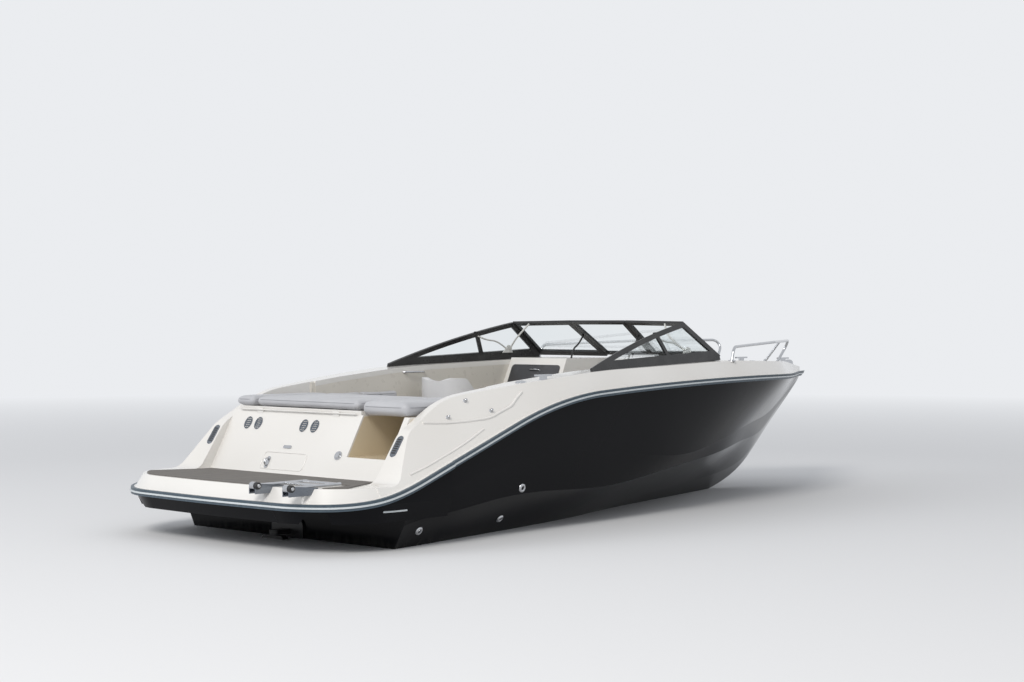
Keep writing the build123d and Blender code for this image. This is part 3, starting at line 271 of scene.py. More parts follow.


# the walk-through's walls are coloured darker and warmer than the rest of the deck
PASSAGE = ((0.07, -0.950, 0.35), (1.09, -0.458, 0.872))     # the walk-through's walls, in a tan tone
TAN = rgb(0.70, 0.60, 0.44)
CHROME = rgb(0.55, 0.56, 0.58)
VENT_FOOT = 0.69            # of the transom's metal fittings, those above this height are the dark vents
looks = {
    "hull_gelcoat": hull_gelcoat(),
    "deck_gelcoat": gelcoat(
        "deck_gelcoat", rgb(0.80, 0.785, 0.76), rgb(0.76, 0.74, 0.71), 0.2, 0.35, PASSAGE, TAN
    ),
    "liner_gelcoat": gelcoat("liner_gelcoat", rgb(0.70, 0.67, 0.61), rgb(0.66, 0.63, 0.57), 0.3, 0.2),
    "rail_vinyl": rubber("rail_vinyl", rgb(0.045, 0.07, 0.095), rgb(0.07, 0.10, 0.125), 0.4),
    "rail_insert": coated("rail_insert", rgb(0.62, 0.66, 0.68), rgb(0.55, 0.6, 0.62), 0.3),
    "mat_foam": decking(),
    "cushion_vinyl": vinyl("cushion_vinyl", rgb(0.50, 0.505, 0.53), rgb(0.45, 0.455, 0.48)),
    "screen_frame": coated("screen_frame", rgb(0.012, 0.012, 0.013), rgb(0.03, 0.03, 0.03), 0.32),
    "screen_glass": safety_glass(),
    "stainless": metal("stainless", CHROME, 0.12),
    "vent_metal": metal("vent_metal", rgb(0.22, 0.24, 0.27), 0.2),
    "fitting_metal": metal("fitting_metal", CHROME, 0.12, upper=rgb(0.17, 0.19, 0.22), height=VENT_FOOT),
    "black_plastic": coated("black_plastic", rgb(0.014, 0.014, 0.015), rgb(0.04, 0.04, 0.04), 0.5),
    "drive_paint": coated("drive_paint", rgb(0.012, 0.012, 0.014), rgb(0.035, 0.035, 0.037), 0.35),
    "engine_iron": coated("engine_iron", rgb(0.05, 0.05, 0.055), rgb(0.09, 0.09, 0.09), 0.55),
    "door_panel": coated("door_panel", rgb(0.042, 0.042, 0.046), rgb(0.065, 0.065, 0.07), 0.35),
    "seat_vinyl": vinyl("seat_vinyl", rgb(0.64, 0.64, 0.65), rgb(0.60, 0.60, 0.61)),
    "cushion_welt": vinyl("cushion_welt", rgb(0.33, 0.335, 0.355), rgb(0.29, 0.295, 0.315)),
    "wheel_leather": vinyl("wheel_leather", rgb(0.02, 0.02, 0.021), rgb(0.035, 0.035, 0.035)),
    "dial_face": coated("dial_face", rgb(0.62, 0.62, 0.60), rgb(0.56, 0.56, 0.54), 0.4),
    "bearer_core": coated("bearer_core", rgb(0.35, 0.34, 0.31), rgb(0.28, 0.27, 0.25), 0.6),
}
# Nodes with another look than that of their material slot
node_looks = {
    "port_seat_shell": "seat_vinyl", "helm_seat_shell": "seat_vinyl",
    "fittings": "fitting_metal", "ladder_brackets": "vent_metal",
}


def dress(obj, name):
    """Gives every material slot of an object the look of that name."""
    if not obj.material_slots:
        obj.data.materials.append(looks[name])
    for place in obj.material_slots:
        place.link = "OBJECT"
        place.material = looks[name]


for part in frame["record"]["subparts"]:
    name = part["node"]
    dress(nodes[name], node_looks.get(name, part["material_slot"]))


# Mesh tools
def carried(made, look, body):
    """Puts a new piece in the scene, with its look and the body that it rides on."""
    scene.collection.objects.link(made)
    dress(made, look)
    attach(made, body)
    return made


def finished(name, shape, look, body="boat", smooth=True):
    """Makes a piece of a bmesh."""
    mesh = bpy.data.meshes.new(name)
    shape.to_mesh(mesh)
    shape.free()
    if smooth:
        mesh.shade_smooth()
    return carried(bpy.data.objects.new(name, mesh), look, body)


def tube(name, points, radius, look, body="boat", closed=False):
    """A round bar or welt along a smooth line."""
    data = bpy.data.curves.new(name, "CURVE")
    data.dimensions = "3D"
    data.bevel_depth = radius
    data.bevel_resolution = 3
    data.resolution_u = 4
    data.use_fill_caps = True
    line = data.splines.new("NURBS")
    line.points.add(len(points) - 1)
    for point, at in zip(line.points, points):
        point.co = (*at, 1)
    line.use_cyclic_u = closed
    line.use_endpoint_u = not closed
    line.order_u = 3
    return carried(bpy.data.objects.new(name, data), look, body)


def turned(name, profile, place, steps, look, body="boat"):
    """A turned piece: the profile holds radius and height along the local z of the placing matrix."""
    shape = bmesh.new()
    rings = []
    for k in range(steps):
        turn = 2 * math.pi * k / steps
        rings.append([
            shape.verts.new(place @ Vector((radius * math.cos(turn), radius * math.sin(turn), height)))
            for radius, height in profile
        ])
    for k in range(steps):
        here, there = rings[k], rings[(k + 1) % steps]
        for j in range(len(profile) - 1):
            shape.faces.new((here[j], there[j], there[j + 1], here[j + 1]))
    bmesh.ops.remove_doubles(shape, verts=shape.verts, dist=1e-6)
    bmesh.ops.recalc_face_normals(shape, faces=shape.faces)
    return finished(name, shape, look, body)


def prism(outline, low, high, bevel=0.0):
    """An upright block with the plan given, counter-clockwise; a bevel rounds its edges."""
    shape = bmesh.new()
    bottom = [shape.verts.new((x, y, low)) for x, y in outline]
    top = [shape.verts.new((x, y, high)) for x, y in outline]
    shape.faces.new(list(reversed(bottom)))
    shape.faces.new(top)
    for k in range(len(outline)):
        after = (k + 1) % len(outline)
        shape.faces.new((bottom[k], bottom[after], top[after], top[k]))
    if bevel:
        bmesh.ops.bevel(shape, geom=shape.edges[:], offset=bevel, segments=2, affect="EDGES", profile=0.5)
    return shape


def rounded_plan(low, high, radius, steps=5):
    """A rectangle's outline with round corners, counter-clockwise."""
    corners = (
        (high[0] - radius, high[1] - radius), (low[0] + radius, high[1] - radius),
        (low[0] + radius, low[1] + radius), (high[0] - radius, low[1] + radius),
    )
    plan = []
    for quarter, (x, y) in enumerate(corners):
        for k in range(steps + 1):
            turn = (quarter + k / steps) * math.pi / 2
            plan.append((x + radius * math.cos(turn), y + radius * math.sin(turn)))
    return plan


def centred_plan(half, radius, steps=5):
    """The same about the origin, from half the rectangle's width and half its height."""
    return rounded_plan((-half[0], -half[1]), half, radius, steps)


def plate(name, place, half, radius, depth, look):
    """A plate with round corners, lying in the local xy plane of the placing matrix."""
    shape = prism(centred_plan(half, radius), *depth, bevel=0.002)
    bmesh.ops.transform(shape, matrix=place, verts=shape.verts)
    return finished(name, shape, look, smooth=False)


def bars(name, place, spots, half, depth, look, turns=None):
    """Small rounded bars in one piece, at spots in the local xy plane, each turned by its angle."""
    whole = bmesh.new()
    radius = min(half) * 0.6
    plan = centred_plan(half, radius, 2)
    for k, (u, v) in enumerate(spots):
        bar = prism(plan, *depth)
        turn = Matrix.Rotation(turns[k] if turns else 0.0, 4, "Z")
        bmesh.ops.transform(bar, matrix=place @ Matrix.Translation((u, v, 0)) @ turn, verts=bar.verts)
        mesh = bpy.data.meshes.new("bar")
        bar.to_mesh(mesh)
        bar.free()
        whole.from_mesh(mesh)
        bpy.data.meshes.remove(mesh)
    return finished(name, whole, look, smooth=False)


def placed(origin, out, up=UP):
    """A matrix at a point whose local z points out and whose local y is near up."""
    z = Vector(out).normalized()
    x = Vector(up).cross(z).normalized()
    turn = Matrix((x, z.cross(x), z)).transposed().to_4x4()
    return Matrix.Translation(Vector(origin)) @ turn


def mirrored(point, side):
    """A point given for the port side, on the side asked for."""
    return Vector((point[0], side * point[1], point[2]))


def surface(obj):
    """A tree of all the faces of an object, to look up points on it."""
    points = [obj.matrix_world @ v.co for v in obj.data.vertices]
    return BVHTree.FromPolygons(points, [list(face.vertices) for face in obj.data.polygons])


def nearest(skin, point):
    """The place of a surface that is nearest to a point, and the surface's normal there."""
    return skin.find_nearest(Vector(point))[:2]


def snapped(skin, points, side, lift):
    """Points given for the port side, moved to the nearest places of a surface on the side asked for."""
    found = []
    for point in points:
        spot, normal = nearest(skin, mirrored(point, side))
        found.append(spot + normal * lift)
    return found


def bake(obj):
    """Turns an object's modifiers into its mesh."""
    shaped = bpy.data.meshes.new_from_object(obj.evaluated_get(bpy.context.evaluated_depsgraph_get()))
    obj.modifiers.clear()
    obj.data = shaped


# Upholstery
CLOTH_FRAMES = 20
CLOTH_PRESSURE = 4.0
FLAT_GAP = 0.0005           # least height of a flat pad's points above the underside of its CAD solid
SEAM_FACING = 0.3           # least cosine between a point's normal and the side that is pressed
SEAM_REACH = 2.5            # how far a seam is felt, in widths
WELT_RADIUS = 0.003
WELT_SPACING = 0.04         # between the points of a welt
WELT_POINTS = 8             # a cut line with no more points than this is left out
WIDE_PAD = 0.5              # a pad that is larger than this is sewn in several panels


def islands(node):
    """The separate closed forms of a CAD node, as bmeshes, from aft to forward and starboard to port."""
    whole = bmesh.new()
    whole.from_mesh(nodes[node].data)
    bmesh.ops.remove_doubles(whole, verts=whole.verts, dist=1e-5)
    whole.faces.ensure_lookup_table()
    seen, found = set(), []
    for face in whole.faces:
        if face.index in seen:
            continue
        group, queue = [], [face]
        seen.add(face.index)
        while queue:
            here = queue.pop()
            group.append(here)
            for edge in here.edges:
                for other in edge.link_faces:
                    if other.index not in seen:
                        seen.add(other.index)
                        queue.append(other)
        form = bmesh.new()
        made = {}
        for each in group:
            for v in each.verts:
                if v.index not in made:
                    made[v.index] = form.verts.new(v.co)
            form.faces.new([made[v.index] for v in each.verts])
        middle = sum((v.co for v in form.verts), Vector()) / len(form.verts)
        found.append((round(middle.x, 2), round(middle.y, 2), form))
    whole.free()
    return [form for _, _, form in sorted(found, key=lambda item: item[:2])]


def extent(obj):
    """The lowest and the highest corner of an object's mesh."""
    places = [v.co for v in obj.data.vertices]
    return [[pick(place[axis] for place in places) for axis in range(3)] for pick in (min, max)]


def cushion(name, shape, body, node, voxel=0.013, cap=0.012, ease=0.006, soften=6, flat=True):
    """A padded piece: remeshed, rounded, swollen as cloth under pressure, its travel held to a cap."""
    pad = finished(name, shape, "cushion_vinyl", body)
    underside = min(v.co.z for v in pad.data.vertices)
    remesh = pad.modifiers.new("remesh", "REMESH")
    remesh.mode = "VOXEL"
    remesh.voxel_size = voxel
    round_off = pad.modifiers.new("round_off", "SMOOTH")
    round_off.factor = 0.5
    round_off.iterations = soften
    bake(pad)
    normals = [v.normal.copy() for v in pad.data.vertices]
    for vertex, normal in zip(pad.data.vertices, normals):
        vertex.co -= normal * ease
    rest = [v.co.copy() for v in pad.data.vertices]
    cloth = pad.modifiers.new("cloth", "CLOTH")
    cloth.settings.quality = 4
    cloth.settings.use_pressure = True
    cloth.settings.uniform_pressure_force = CLOTH_PRESSURE
    cloth.settings.effector_weights.gravity = 0.0
    cloth.point_cache.frame_start = 1
    cloth.point_cache.frame_end = CLOTH_FRAMES
    for number in range(1, CLOTH_FRAMES + 1):
        scene.frame_set(number)
    bake(pad)
    scene.frame_set(1)
    for vertex, start in zip(pad.data.vertices, rest):
        moved = vertex.co - start
        vertex.co = start + moved * (cap / (cap + moved.length))
        if flat:
            vertex.co.z = max(vertex.co.z, underside + FLAT_GAP)
    smooth = pad.modifiers.new("smooth", "SUBSURF")
    smooth.levels = smooth.render_levels = 1
    bake(pad)
    pad.data.shade_smooth()
    dress(pad, "cushion_vinyl")
    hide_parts(node)
    return pad


def press(pad, lines, facing, width=0.010, depth=0.006):
    """Presses sewn seams into a pad along straight lines, on the side that faces the way given."""
    out = Vector(facing)
    normals = [v.normal.copy() for v in pad.data.vertices]
    for vertex, normal in zip(pad.data.vertices, normals):
        if normal.dot(out) < SEAM_FACING:
            continue
        for first, last in lines:
            start = Vector(first)
            along = Vector(last) - start
            share = min(max((vertex.co - start).dot(along) / along.length_squared, 0.0), 1.0)
            away = vertex.co - (start + along * share)
            away -= out * away.dot(out)
            if away.length < SEAM_REACH * width:
                vertex.co -= out * depth * math.exp(-((away.length / width) ** 2))


def seams_across(low, high, stations):
    """Lines from side to side over the top of a box, at the stations along x."""
    return [((x, low[1], high[2]), (x, high[1], high[2])) for x in stations]


def rings_at(obj, height):
    """The closed lines in which a level plane cuts an object, as points spaced along them."""
    cut = bmesh.new()
    cut.from_mesh(obj.data)
    geometry = cut.verts[:] + cut.edges[:] + cut.faces[:]
    bmesh.ops.bisect_plane(
        cut, geom=geometry, plane_co=(0, 0, height), plane_no=UP, clear_inner=True, clear_outer=True
    )
    left = dict.fromkeys(cut.verts)     # in the mesh's own order, so that each run starts a line alike
    rings = []
    while left:
        here = left.popitem()[0]
        line = [here]
        while True:
            after = [edge.other_vert(here) for edge in here.link_edges if edge.other_vert(here) in left]
            if not after:
                break
            here = after[0]
            left.pop(here)
            line.append(here)
        points = [line[0].co.copy()]
        for v in line[1:]:
            if (v.co - points[-1]).length > WELT_SPACING:
                points.append(v.co.copy())
        if len(points) > WELT_POINTS:
            rings.append(points)
    cut.free()
    return rings


def welt(pad, drop, body="boat"):
    """A sewn welt round a pad's side, the given distance below its top."""
    top = max(v.co.z for v in pad.data.vertices)
    for k, points in enumerate(rings_at(pad, top - drop)):
        tube(f"{pad.name}_welt_{k}", points, WELT_RADIUS, "cushion_welt", body, closed=True)


# Sunpad on the lid, in two pads, and the filler over the walk-through
SUNPAD_SEAMS = (0.53, 0.80)
for name, shape in zip(("sunpad_main", "sunpad_port"), islands("sunpad_cushion")):
    pad = cushion(name, shape, "sunpad_hatch_body", "sunpad_cushion")
    low, high = extent(pad)
    if high[1] - low[1] > WIDE_PAD:
        press(pad, seams_across(low, high, SUNPAD_SEAMS), UP)
    welt(pad, drop=0.03, body="sunpad_hatch_body")
filler = cushion("filler_pad", islands("filler_cushion")[0], "boat", "filler_cushion", soften=9)
welt(filler, drop=0.045)

# Lounge: the L-shaped seat with its sewn joints, and the backrests
BENCH_AFT = 1.52            # forward edge of the aft bench
BENCH_SIDE = 0.47           # inboard edge of the port bench
AFT_BENCH_SEAMS = (-0.13, 0.17)
SIDE_BENCH_SEAMS = (0.62, 0.77)
BACK_PANELS = 4             # of the aft backrest
low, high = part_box("lounge_seat_cushion")
seat = cushion("lounge_seat", islands("lounge_seat_cushion")[0], "boat", "lounge_seat_cushion")
corner = [((low[0], BENCH_SIDE, high[2]), (BENCH_AFT, BENCH_SIDE, high[2]))]
press(seat, corner, UP, width=0.012, depth=0.014)
press(seat, [((low[0], y, high[2]), (BENCH_AFT, y, high[2])) for y in AFT_BENCH_SEAMS], UP)
press(seat, [((BENCH_AFT, y, high[2]), (high[0], y, high[2])) for y in SIDE_BENCH_SEAMS], UP)
welt(seat, drop=0.02)
for k, shape in enumerate(islands("lounge_back_cushions")):
    pad = cushion(f"lounge_back_{k}", shape, "boat", "lounge_back_cushions", ease=0.005)
    low, high = extent(pad)
    if high[1] - low[1] > WIDE_PAD:
        stops = [low[1] + (high[1] - low[1]) * j / BACK_PANELS for j in range(1, BACK_PANELS)]
        press(pad, [((high[0], y, low[2]), (high[0], y, high[2])) for y in stops], AHEAD)
    else:
        middle = (low[0] + high[0]) / 2
        press(pad, [((middle, low[1], low[2]), (middle, low[1], high[2]))], TO_STARBOARD)
    welt(pad, drop=0.022)

# Bow cockpit: the U-shaped seat and its two backrests
BOW_SEAT_FRONT = 4.95       # where the side seats meet
BOW_FRONT_HALF = 0.7        # half the length of the seam there
BOW_SEAMS = (4.30, 4.62)    # stations of the side seats' seams
BOW_SEAM_HALF = 0.9         # half the length of each
BOW_BACK_SEAMS = (0.93, 1.06)       # heights of the backrests' seams
for k, shape in enumerate(islands("bow_seat_cushion")):
    pad = cushion(f"bow_pad_{k}", shape, "boat", "bow_seat_cushion", ease=0.005)
    low, high = extent(pad)
    if high[0] - low[0] > WIDE_PAD:
        top = high[2]
        joint = [((BOW_SEAT_FRONT, -BOW_FRONT_HALF, top), (BOW_SEAT_FRONT, BOW_FRONT_HALF, top))]
        press(pad, joint, UP, width=0.012, depth=0.012)
        press(pad, [((x, -BOW_SEAM_HALF, top), (x, BOW_SEAM_HALF, top)) for x in BOW_SEAMS], UP)
        welt(pad, drop=0.02)
    else:
        press(pad, [((high[0], low[1], z), (high[0], high[1], z)) for z in BOW_BACK_SEAMS], AHEAD)
        welt(pad, drop=0.025)

# Bucket seats: the cushion, and a padded lining round the shell's inside
SEAT_SEAMS = (2.30, 2.43)
LINING = 0.030              # thickness of the padded lining
LINING_STEPS = 18
LINING_LIFT = 0.004         # of its foot above the cushion's top
SHELL_MIDDLE = 0.26         # from the shell's aft edge to the middle of its plan
SHELL_HALF_X = 0.213        # from that middle to the shell's inner faces
SHELL_HALF_Y = 0.223
SHELL_POWER = 3.2           # of the superellipse that these faces follow
ARM_HEIGHT = 0.27           # of the lining's top above the shell's foot
BACK_RISE = 0.12            # how much higher that top is at the back
BACK_SPREAD = 1.6           # how fast it rises from the arms to the back


def seat_lining(middle_x, middle_y, foot, arms):
    """A band round the inside of a seat's shell, from one arm round the back to the other."""
    shape = bmesh.new()
    rows = []
    for k in range(LINING_STEPS + 1):
        turn = math.radians(90 + 180 * k / LINING_STEPS)
        along, across = math.cos(turn), math.sin(turn)
        spread = abs(along / SHELL_HALF_X) ** SHELL_POWER + abs(across / SHELL_HALF_Y) ** SHELL_POWER
        reach = spread ** (-1 / SHELL_POWER)
        crown = arms + BACK_RISE * min(1.0, BACK_SPREAD * abs(along))
        section = (
            (0.0, foot), (LINING, foot + 0.008), (LINING, crown - 0.03), (LINING * 0.4, crown),
            (0.0, crown - 0.01),
        )
        rows.append([
            shape.verts.new((middle_x + along * (reach - inward), middle_y + across * (reach - inward), z))
            for inward, z in section
        ])
    for here, there in zip(rows, rows[1:]):
        for j in range(len(here)):
            after = (j + 1) % len(here)
            shape.faces.new((here[j], here[after], there[after], there[j]))
    shape.faces.new(rows[0])
    shape.faces.new(list(reversed(rows[-1])))
    bmesh.ops.recalc_face_normals(shape, faces=shape.faces)
    return shape


for name in ("port", "helm"):
    body = f"{name}_seat"
    node = f"{name}_seat_cushion"
    low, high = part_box(node)
    pad = cushion(f"{name}_seat_pad", islands(node)[0], body, node, voxel=0.01, cap=0.014)
    press(pad, seams_across(low, high, SEAT_SEAMS), UP, width=0.009)
    welt(pad, drop=0.03, body=body)
    shell_low, shell_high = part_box(f"{name}_seat_shell")
    middle_x = shell_low[0] + SHELL_MIDDLE
    middle_y = (shell_low[1] + shell_high[1]) / 2
    lining = seat_lining(middle_x, middle_y, high[2] + LINING_LIFT, shell_low[2] + ARM_HEIGHT)
    cushion(
        f"{name}_seat_lining", lining, body, node, voxel=0.009, cap=0.006, ease=0.002, soften=3, flat=False
    )

# Fittings, each on the surface that carries it
deck_skin = surface(nodes["deck"])
hull_skin = surface(nodes["hull"])
FLUSH_CAP = ((0.0, 0.012), (0.028, 0.012), (0.031, 0.009), (0.036, 0.008), (0.042, 0.005), (0.045, -0.006))


def on_deck(x, y):
    return deck_skin.ray_cast(Vector((x, y, 3)), Vector((0, 0, -1)))[0]


# Quarter wings: their moulded lines, louvred plates, studs for the cover and the filler cap
WING_LEDGE = (
    (0.323, 1.043, 0.846), (0.424, 1.069, 0.843), (0.527, 1.096, 0.839), (0.702, 1.132, 0.848),
    (0.884, 1.166, 0.863), (0.98, 1.164, 0.902), (1.103, 1.169, 0.941), (1.15, 1.155, 0.982),
    (1.24, 1.13, 1.03),
)
WING_CREASE = (
    (0.057, 1.184, 0.51), (0.194, 1.191, 0.549), (0.338, 1.193, 0.603), (0.485, 1.195, 0.657),
    (0.637, 1.194, 0.719), (0.788, 1.187, 0.789),
)
WING_PLATE = (0.112, 1.0, 0.69)
WING_FACE = (-0.82, 0.0, 0.57)      # the way that the wings' aft faces look
SLAT_STEP = 0.018
COVER_STUDS = ((0.536, 1.077, 0.876), (0.731, 1.056, 0.986), (0.909, 1.142, 0.911))
FILLER_CAP = (1.32, -1.06)          # x and y
STUD = (
    (0.0, 0.026), (0.007, 0.025), (0.011, 0.019), (0.008, 0.012), (0.008, 0.006), (0.015, 0.003),
    (0.016, -0.004),
)
for side, hand in SIDES:
    tube(f"wing_ledge_{hand}", snapped(deck_skin, WING_LEDGE, side, -0.002), 0.012, "deck_gelcoat")
    tube(f"wing_crease_{hand}", snapped(deck_skin, WING_CREASE, side, -0.003), 0.010, "deck_gelcoat")
    place = placed(mirrored(WING_PLATE, side), WING_FACE)
    plate(f"wing_plate_{hand}", place, (0.030, 0.085), 0.028, (-0.004, 0.004), "vent_metal")
    slats = [(0.0, SLAT_STEP * k) for k in range(-3, 4)]
    bars(f"wing_slats_{hand}", place, slats, (0.019, 0.0045), (0.002, 0.006), "black_plastic")
    for k, stud in enumerate(COVER_STUDS):
        spot, normal = nearest(deck_skin, mirrored(stud, side))
        turned(f"cover_stud_{hand}_{k}", STUD, placed(spot, normal), 20, "stainless")
cap = placed(on_deck(*FILLER_CAP), (-0.12, -0.1, 1), AHEAD)
turned("filler_cap", FLUSH_CAP, cap, 32, "stainless")

# Transom: the frame of the recess round the towing eye
TOW_RECESS = (0.0905, 0.165, 0.53)
RECESS_HALF = (0.235, 0.068)        # half its width and half its height
TRANSOM_FACE = (-0.873, 0.0, 0.488)
recess = placed(TOW_RECESS, TRANSOM_FACE)
rim = [recess @ Vector((u, v, 0.0)) for u, v in centred_plan(RECESS_HALF, 0.03)]
tube("tow_recess_rim", rim, 0.0045, "deck_gelcoat", closed=True)

# Lid under the sunpad: the pale edge bead along its aft side
low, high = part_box("sunpad_hatch")
stations = (high[1] - 0.04, 0.5, 0.2, -0.1, low[1] + 0.03)
bead = [(low[0] - 0.001, y, low[2] + 0.006) for y in stations]
tube("lid_bead", bead, 0.006, "deck_gelcoat", "sunpad_hatch_body")

# Hull: the rubbing strip on each quarter, and the rings round the three outlets
QUARTER_STRIP = [(x, 1.23, 0.279) for x in (-0.232, -0.16, -0.09, -0.018)]
OUTLETS = ((0.200, 0.112), (1.155, 0.110), (1.208, 0.341))      # x and z, on the starboard side
OUTLET_RING = ((0.014, 0.006), (0.018, 0.011), (0.025, 0.011), (0.031, 0.007), (0.034, -0.006))
for side, hand in SIDES:
    tube(f"quarter_strip_{hand}", snapped(hull_skin, QUARTER_STRIP, side, 0.001), 0.0065, "rail_insert")
for k, (x, z) in enumerate(OUTLETS):
    seen = hull_skin.ray_cast(Vector((x, -3, z)), Vector(TO_PORT))[0]
    turned(f"outlet_ring_{k}", OUTLET_RING, placed(*nearest(hull_skin, seen)), 36, "stainless")

# Ladder: the round ends of the pin that it swings on, one on each bracket's starboard face
LADDER_PIN = (-0.785, 0.455)        # x and z
PIN_ENDS = (-0.594, -0.934)         # y of those faces
PIN_CAP = ((0.0, 0.020), (0.010, 0.020), (0.014, 0.017), (0.022, 0.016), (0.0245, 0.012), (0.0245, -0.010))
PIN_BUTTON = ((0.0, 0.024), (0.010, 0.023), (0.013, 0.018), (0.013, 0.010))
for k, y in enumerate(PIN_ENDS):
    place = placed((LADDER_PIN[0], y, LADDER_PIN[1]), TO_STARBOARD)
    turned(f"ladder_pin_end_{k}", PIN_CAP, place, 28, "black_plastic")
    turned(f"ladder_pin_button_{k}", PIN_BUTTON, place, 24, "stainless")

# Foredeck: the light, the joint and latch of the anchor locker's lid, and the feet of the bow rails
BOW_LIGHT_X = 6.417
LATCH_X = 5.80
LIGHT_DOME = (
    (0.0, 0.062), (0.020, 0.060), (0.034, 0.052), (0.042, 0.038), (0.045, 0.020), (0.050, 0.012),
    (0.054, 0.004), (0.054, -0.006),
)
LID_SIDE = ((5.70, 0.27), (5.74, 0.30), (6.14, 0.17), (6.17, 0.13))
FOOT_FLANGE = (
    (0.0, 0.010), (0.016, 0.010), (0.018, 0.007), (0.028, 0.006), (0.032, 0.003), (0.033, -0.004),
)
FOOT_GAP = 0.014            # the points of a rail that are this near to the deck belong to its feet
FOOT_SPREAD = 0.09          # and those that are this near to each other belong to one foot
light = placed(on_deck(BOW_LIGHT_X, 0), (0.08, 0, 1), AHEAD)
turned("bow_light", LIGHT_DOME, light, 40, "stainless")
lid = [on_deck(x, -y) for x, y in LID_SIDE] + [on_deck(x, y) for x, y in reversed(LID_SIDE)]
tube("anchor_lid_joint", lid, 0.0022, "rail_vinyl", closed=True)
latch = placed(on_deck(LATCH_X, 0), (0.06, 0, 1), AHEAD)
turned("anchor_lid_latch", FLUSH_CAP, latch, 32, "stainless")
for _, hand in SIDES:
    feet = []
    for vertex in nodes[f"bow_rail_{hand}"].data.vertices:
        spot, _, _, gap = deck_skin.find_nearest(vertex.co)
        if gap > FOOT_GAP:
            continue
        near = next((foot for foot in feet if (foot[0] - spot).length < FOOT_SPREAD), None)
        if near:
            near.append(spot)
        else:
            feet.append([spot])
    for k, foot in enumerate(feet):
        spot, normal = nearest(deck_skin, sum(foot, Vector()) / len(foot))
        turned(f"rail_foot_{hand}_{k}", FOOT_FLANGE, placed(spot, normal, AHEAD), 28, "stainless")

# Screen stays: two pale bars a side down to the side deck, and a dark one by each centre post
LONG_STAY = ((3.447, 0.756, 1.528), (3.40, 0.80, 1.46), (3.40, 0.90, 1.37), (3.452, 1.003, 1.285))
SHORT_STAY = ((3.03, 0.985, 1.42), (3.12, 0.985, 1.385), (3.30, 0.985, 1.375), (3.442, 1.0, 1.285))
POST_STAY = ((3.655, 0.31, 1.42), (3.61, 0.315, 1.35), (3.53, 0.32, 1.31), (3.51, 0.32, 1.226))
STAY_FOOT = ((3.36, 1.27), (3.49, 1.27), (3.47, 1.33), (3.43, 1.34))    # x and z of its corners
STAY_FOOT_FACES = (0.990, 1.002)
for side, hand in SIDES:
    for kind, points, radius in (("long", LONG_STAY, 0.008), ("short", SHORT_STAY, 0.007)):
        tube(f"stay_{kind}_{hand}", [mirrored(point, side) for point in points], radius, "dial_face")
    foot = prism(STAY_FOOT, *STAY_FOOT_FACES)
    upright = Matrix(((1, 0, 0, 0), (0, 0, side, 0), (0, 1, 0, 0), (0, 0, 0, 1)))   # turns y to z, z to y
    bmesh.ops.transform(foot, matrix=upright, verts=foot.verts)
    bmesh.ops.recalc_face_normals(foot, faces=foot.faces)
    bmesh.ops.bevel(foot, geom=foot.edges[:], offset=0.002, segments=2, affect="EDGES")
    finished(f"stay_foot_{hand}", foot, "dial_face", smooth=False)
    tube(f"post_stay_{hand}", [mirrored(point, side) for point in POST_STAY], 0.008, "black_plastic")

# Consoles: locker lid, dash with its dials, switches and throttle
CONSOLE_FACE = (-0.912, 0.0, 0.410)
CONSOLE_X = 3.295           # of the consoles' sloping aft faces, 1 m above the water
CONSOLE_SLOPE = 0.45        # how far forward they come for each metre of height


def on_console(y, z):
    """A place on the consoles' sloping aft faces."""
    return placed((CONSOLE_X + (z - 1.0) * CONSOLE_SLOPE, y, z), CONSOLE_FACE)


LOCKER_LID = (0.60, 0.985)          # y and z, as for the other pieces on the consoles
LOCKER_HANDLE = (0.60, 1.12)
DASH = (-0.60, 1.115)
SWITCH_PANEL = (-0.37, 0.93)
HANDLE_LINE = ((-0.06, 0.004), (-0.05, 0.024), (0.05, 0.024), (0.06, 0.004))
DIAL_SPOTS = (-0.135, 0.0, 0.135)
DIAL_BEZEL = ((0.033, 0.009), (0.035, 0.016), (0.040, 0.017), (0.043, 0.014), (0.044, 0.004))
DIAL_DISC = ((0.0, 0.009), (0.034, 0.009), (0.034, 0.005))
TICK_RADIUS = 0.027
TICK_ANGLES = [math.radians(angle) for angle in range(-135, 136, 27)]
plate("port_locker_lid", on_console(*LOCKER_LID), (0.28, 0.20), 0.03, (-0.002, 0.006), "door_panel")
handle = [on_console(*LOCKER_HANDLE) @ Vector((u, 0.0, height)) for u, height in HANDLE_LINE]
tube("port_locker_handle", handle, 0.005, "stainless")
dash = on_console(*DASH)
plate("dash_panel", dash, (0.235, 0.085), 0.03, (-0.002, 0.007), "screen_frame")
ticks = [(TICK_RADIUS * math.sin(angle), TICK_RADIUS * math.cos(angle)) for angle in TICK_ANGLES]
for k, u in enumerate(DIAL_SPOTS):
    place = dash @ Matrix.Translation((u, 0.008, 0.0))
    turned(f"dial_bezel_{k}", DIAL_BEZEL, place, 36, "stainless")
    turned(f"dial_disc_{k}", DIAL_DISC, place, 36, "black_plastic")
    bars(
        f"dial_ticks_{k}", place, ticks, (0.0008, 0.004), (0.008, 0.0098), "dial_face",
        turns=[-angle for angle in TICK_ANGLES],
    )
    bars(
        f"dial_needle_{k}", place, [(-0.008, 0.007)], (0.0009, 0.013), (0.0098, 0.0112), "dial_face",
        turns=[0.8],
    )
rockers = [(u, v) for v in (-0.02, 0.02) for u in (-0.05, -0.017, 0.017, 0.05)]
panel = on_console(*SWITCH_PANEL)
plate("switch_panel", panel, (0.075, 0.05), 0.01, (-0.002, 0.005), "screen_frame")
bars("switches", panel, rockers, (0.011, 0.014), (0.003, 0.010), "black_plastic")

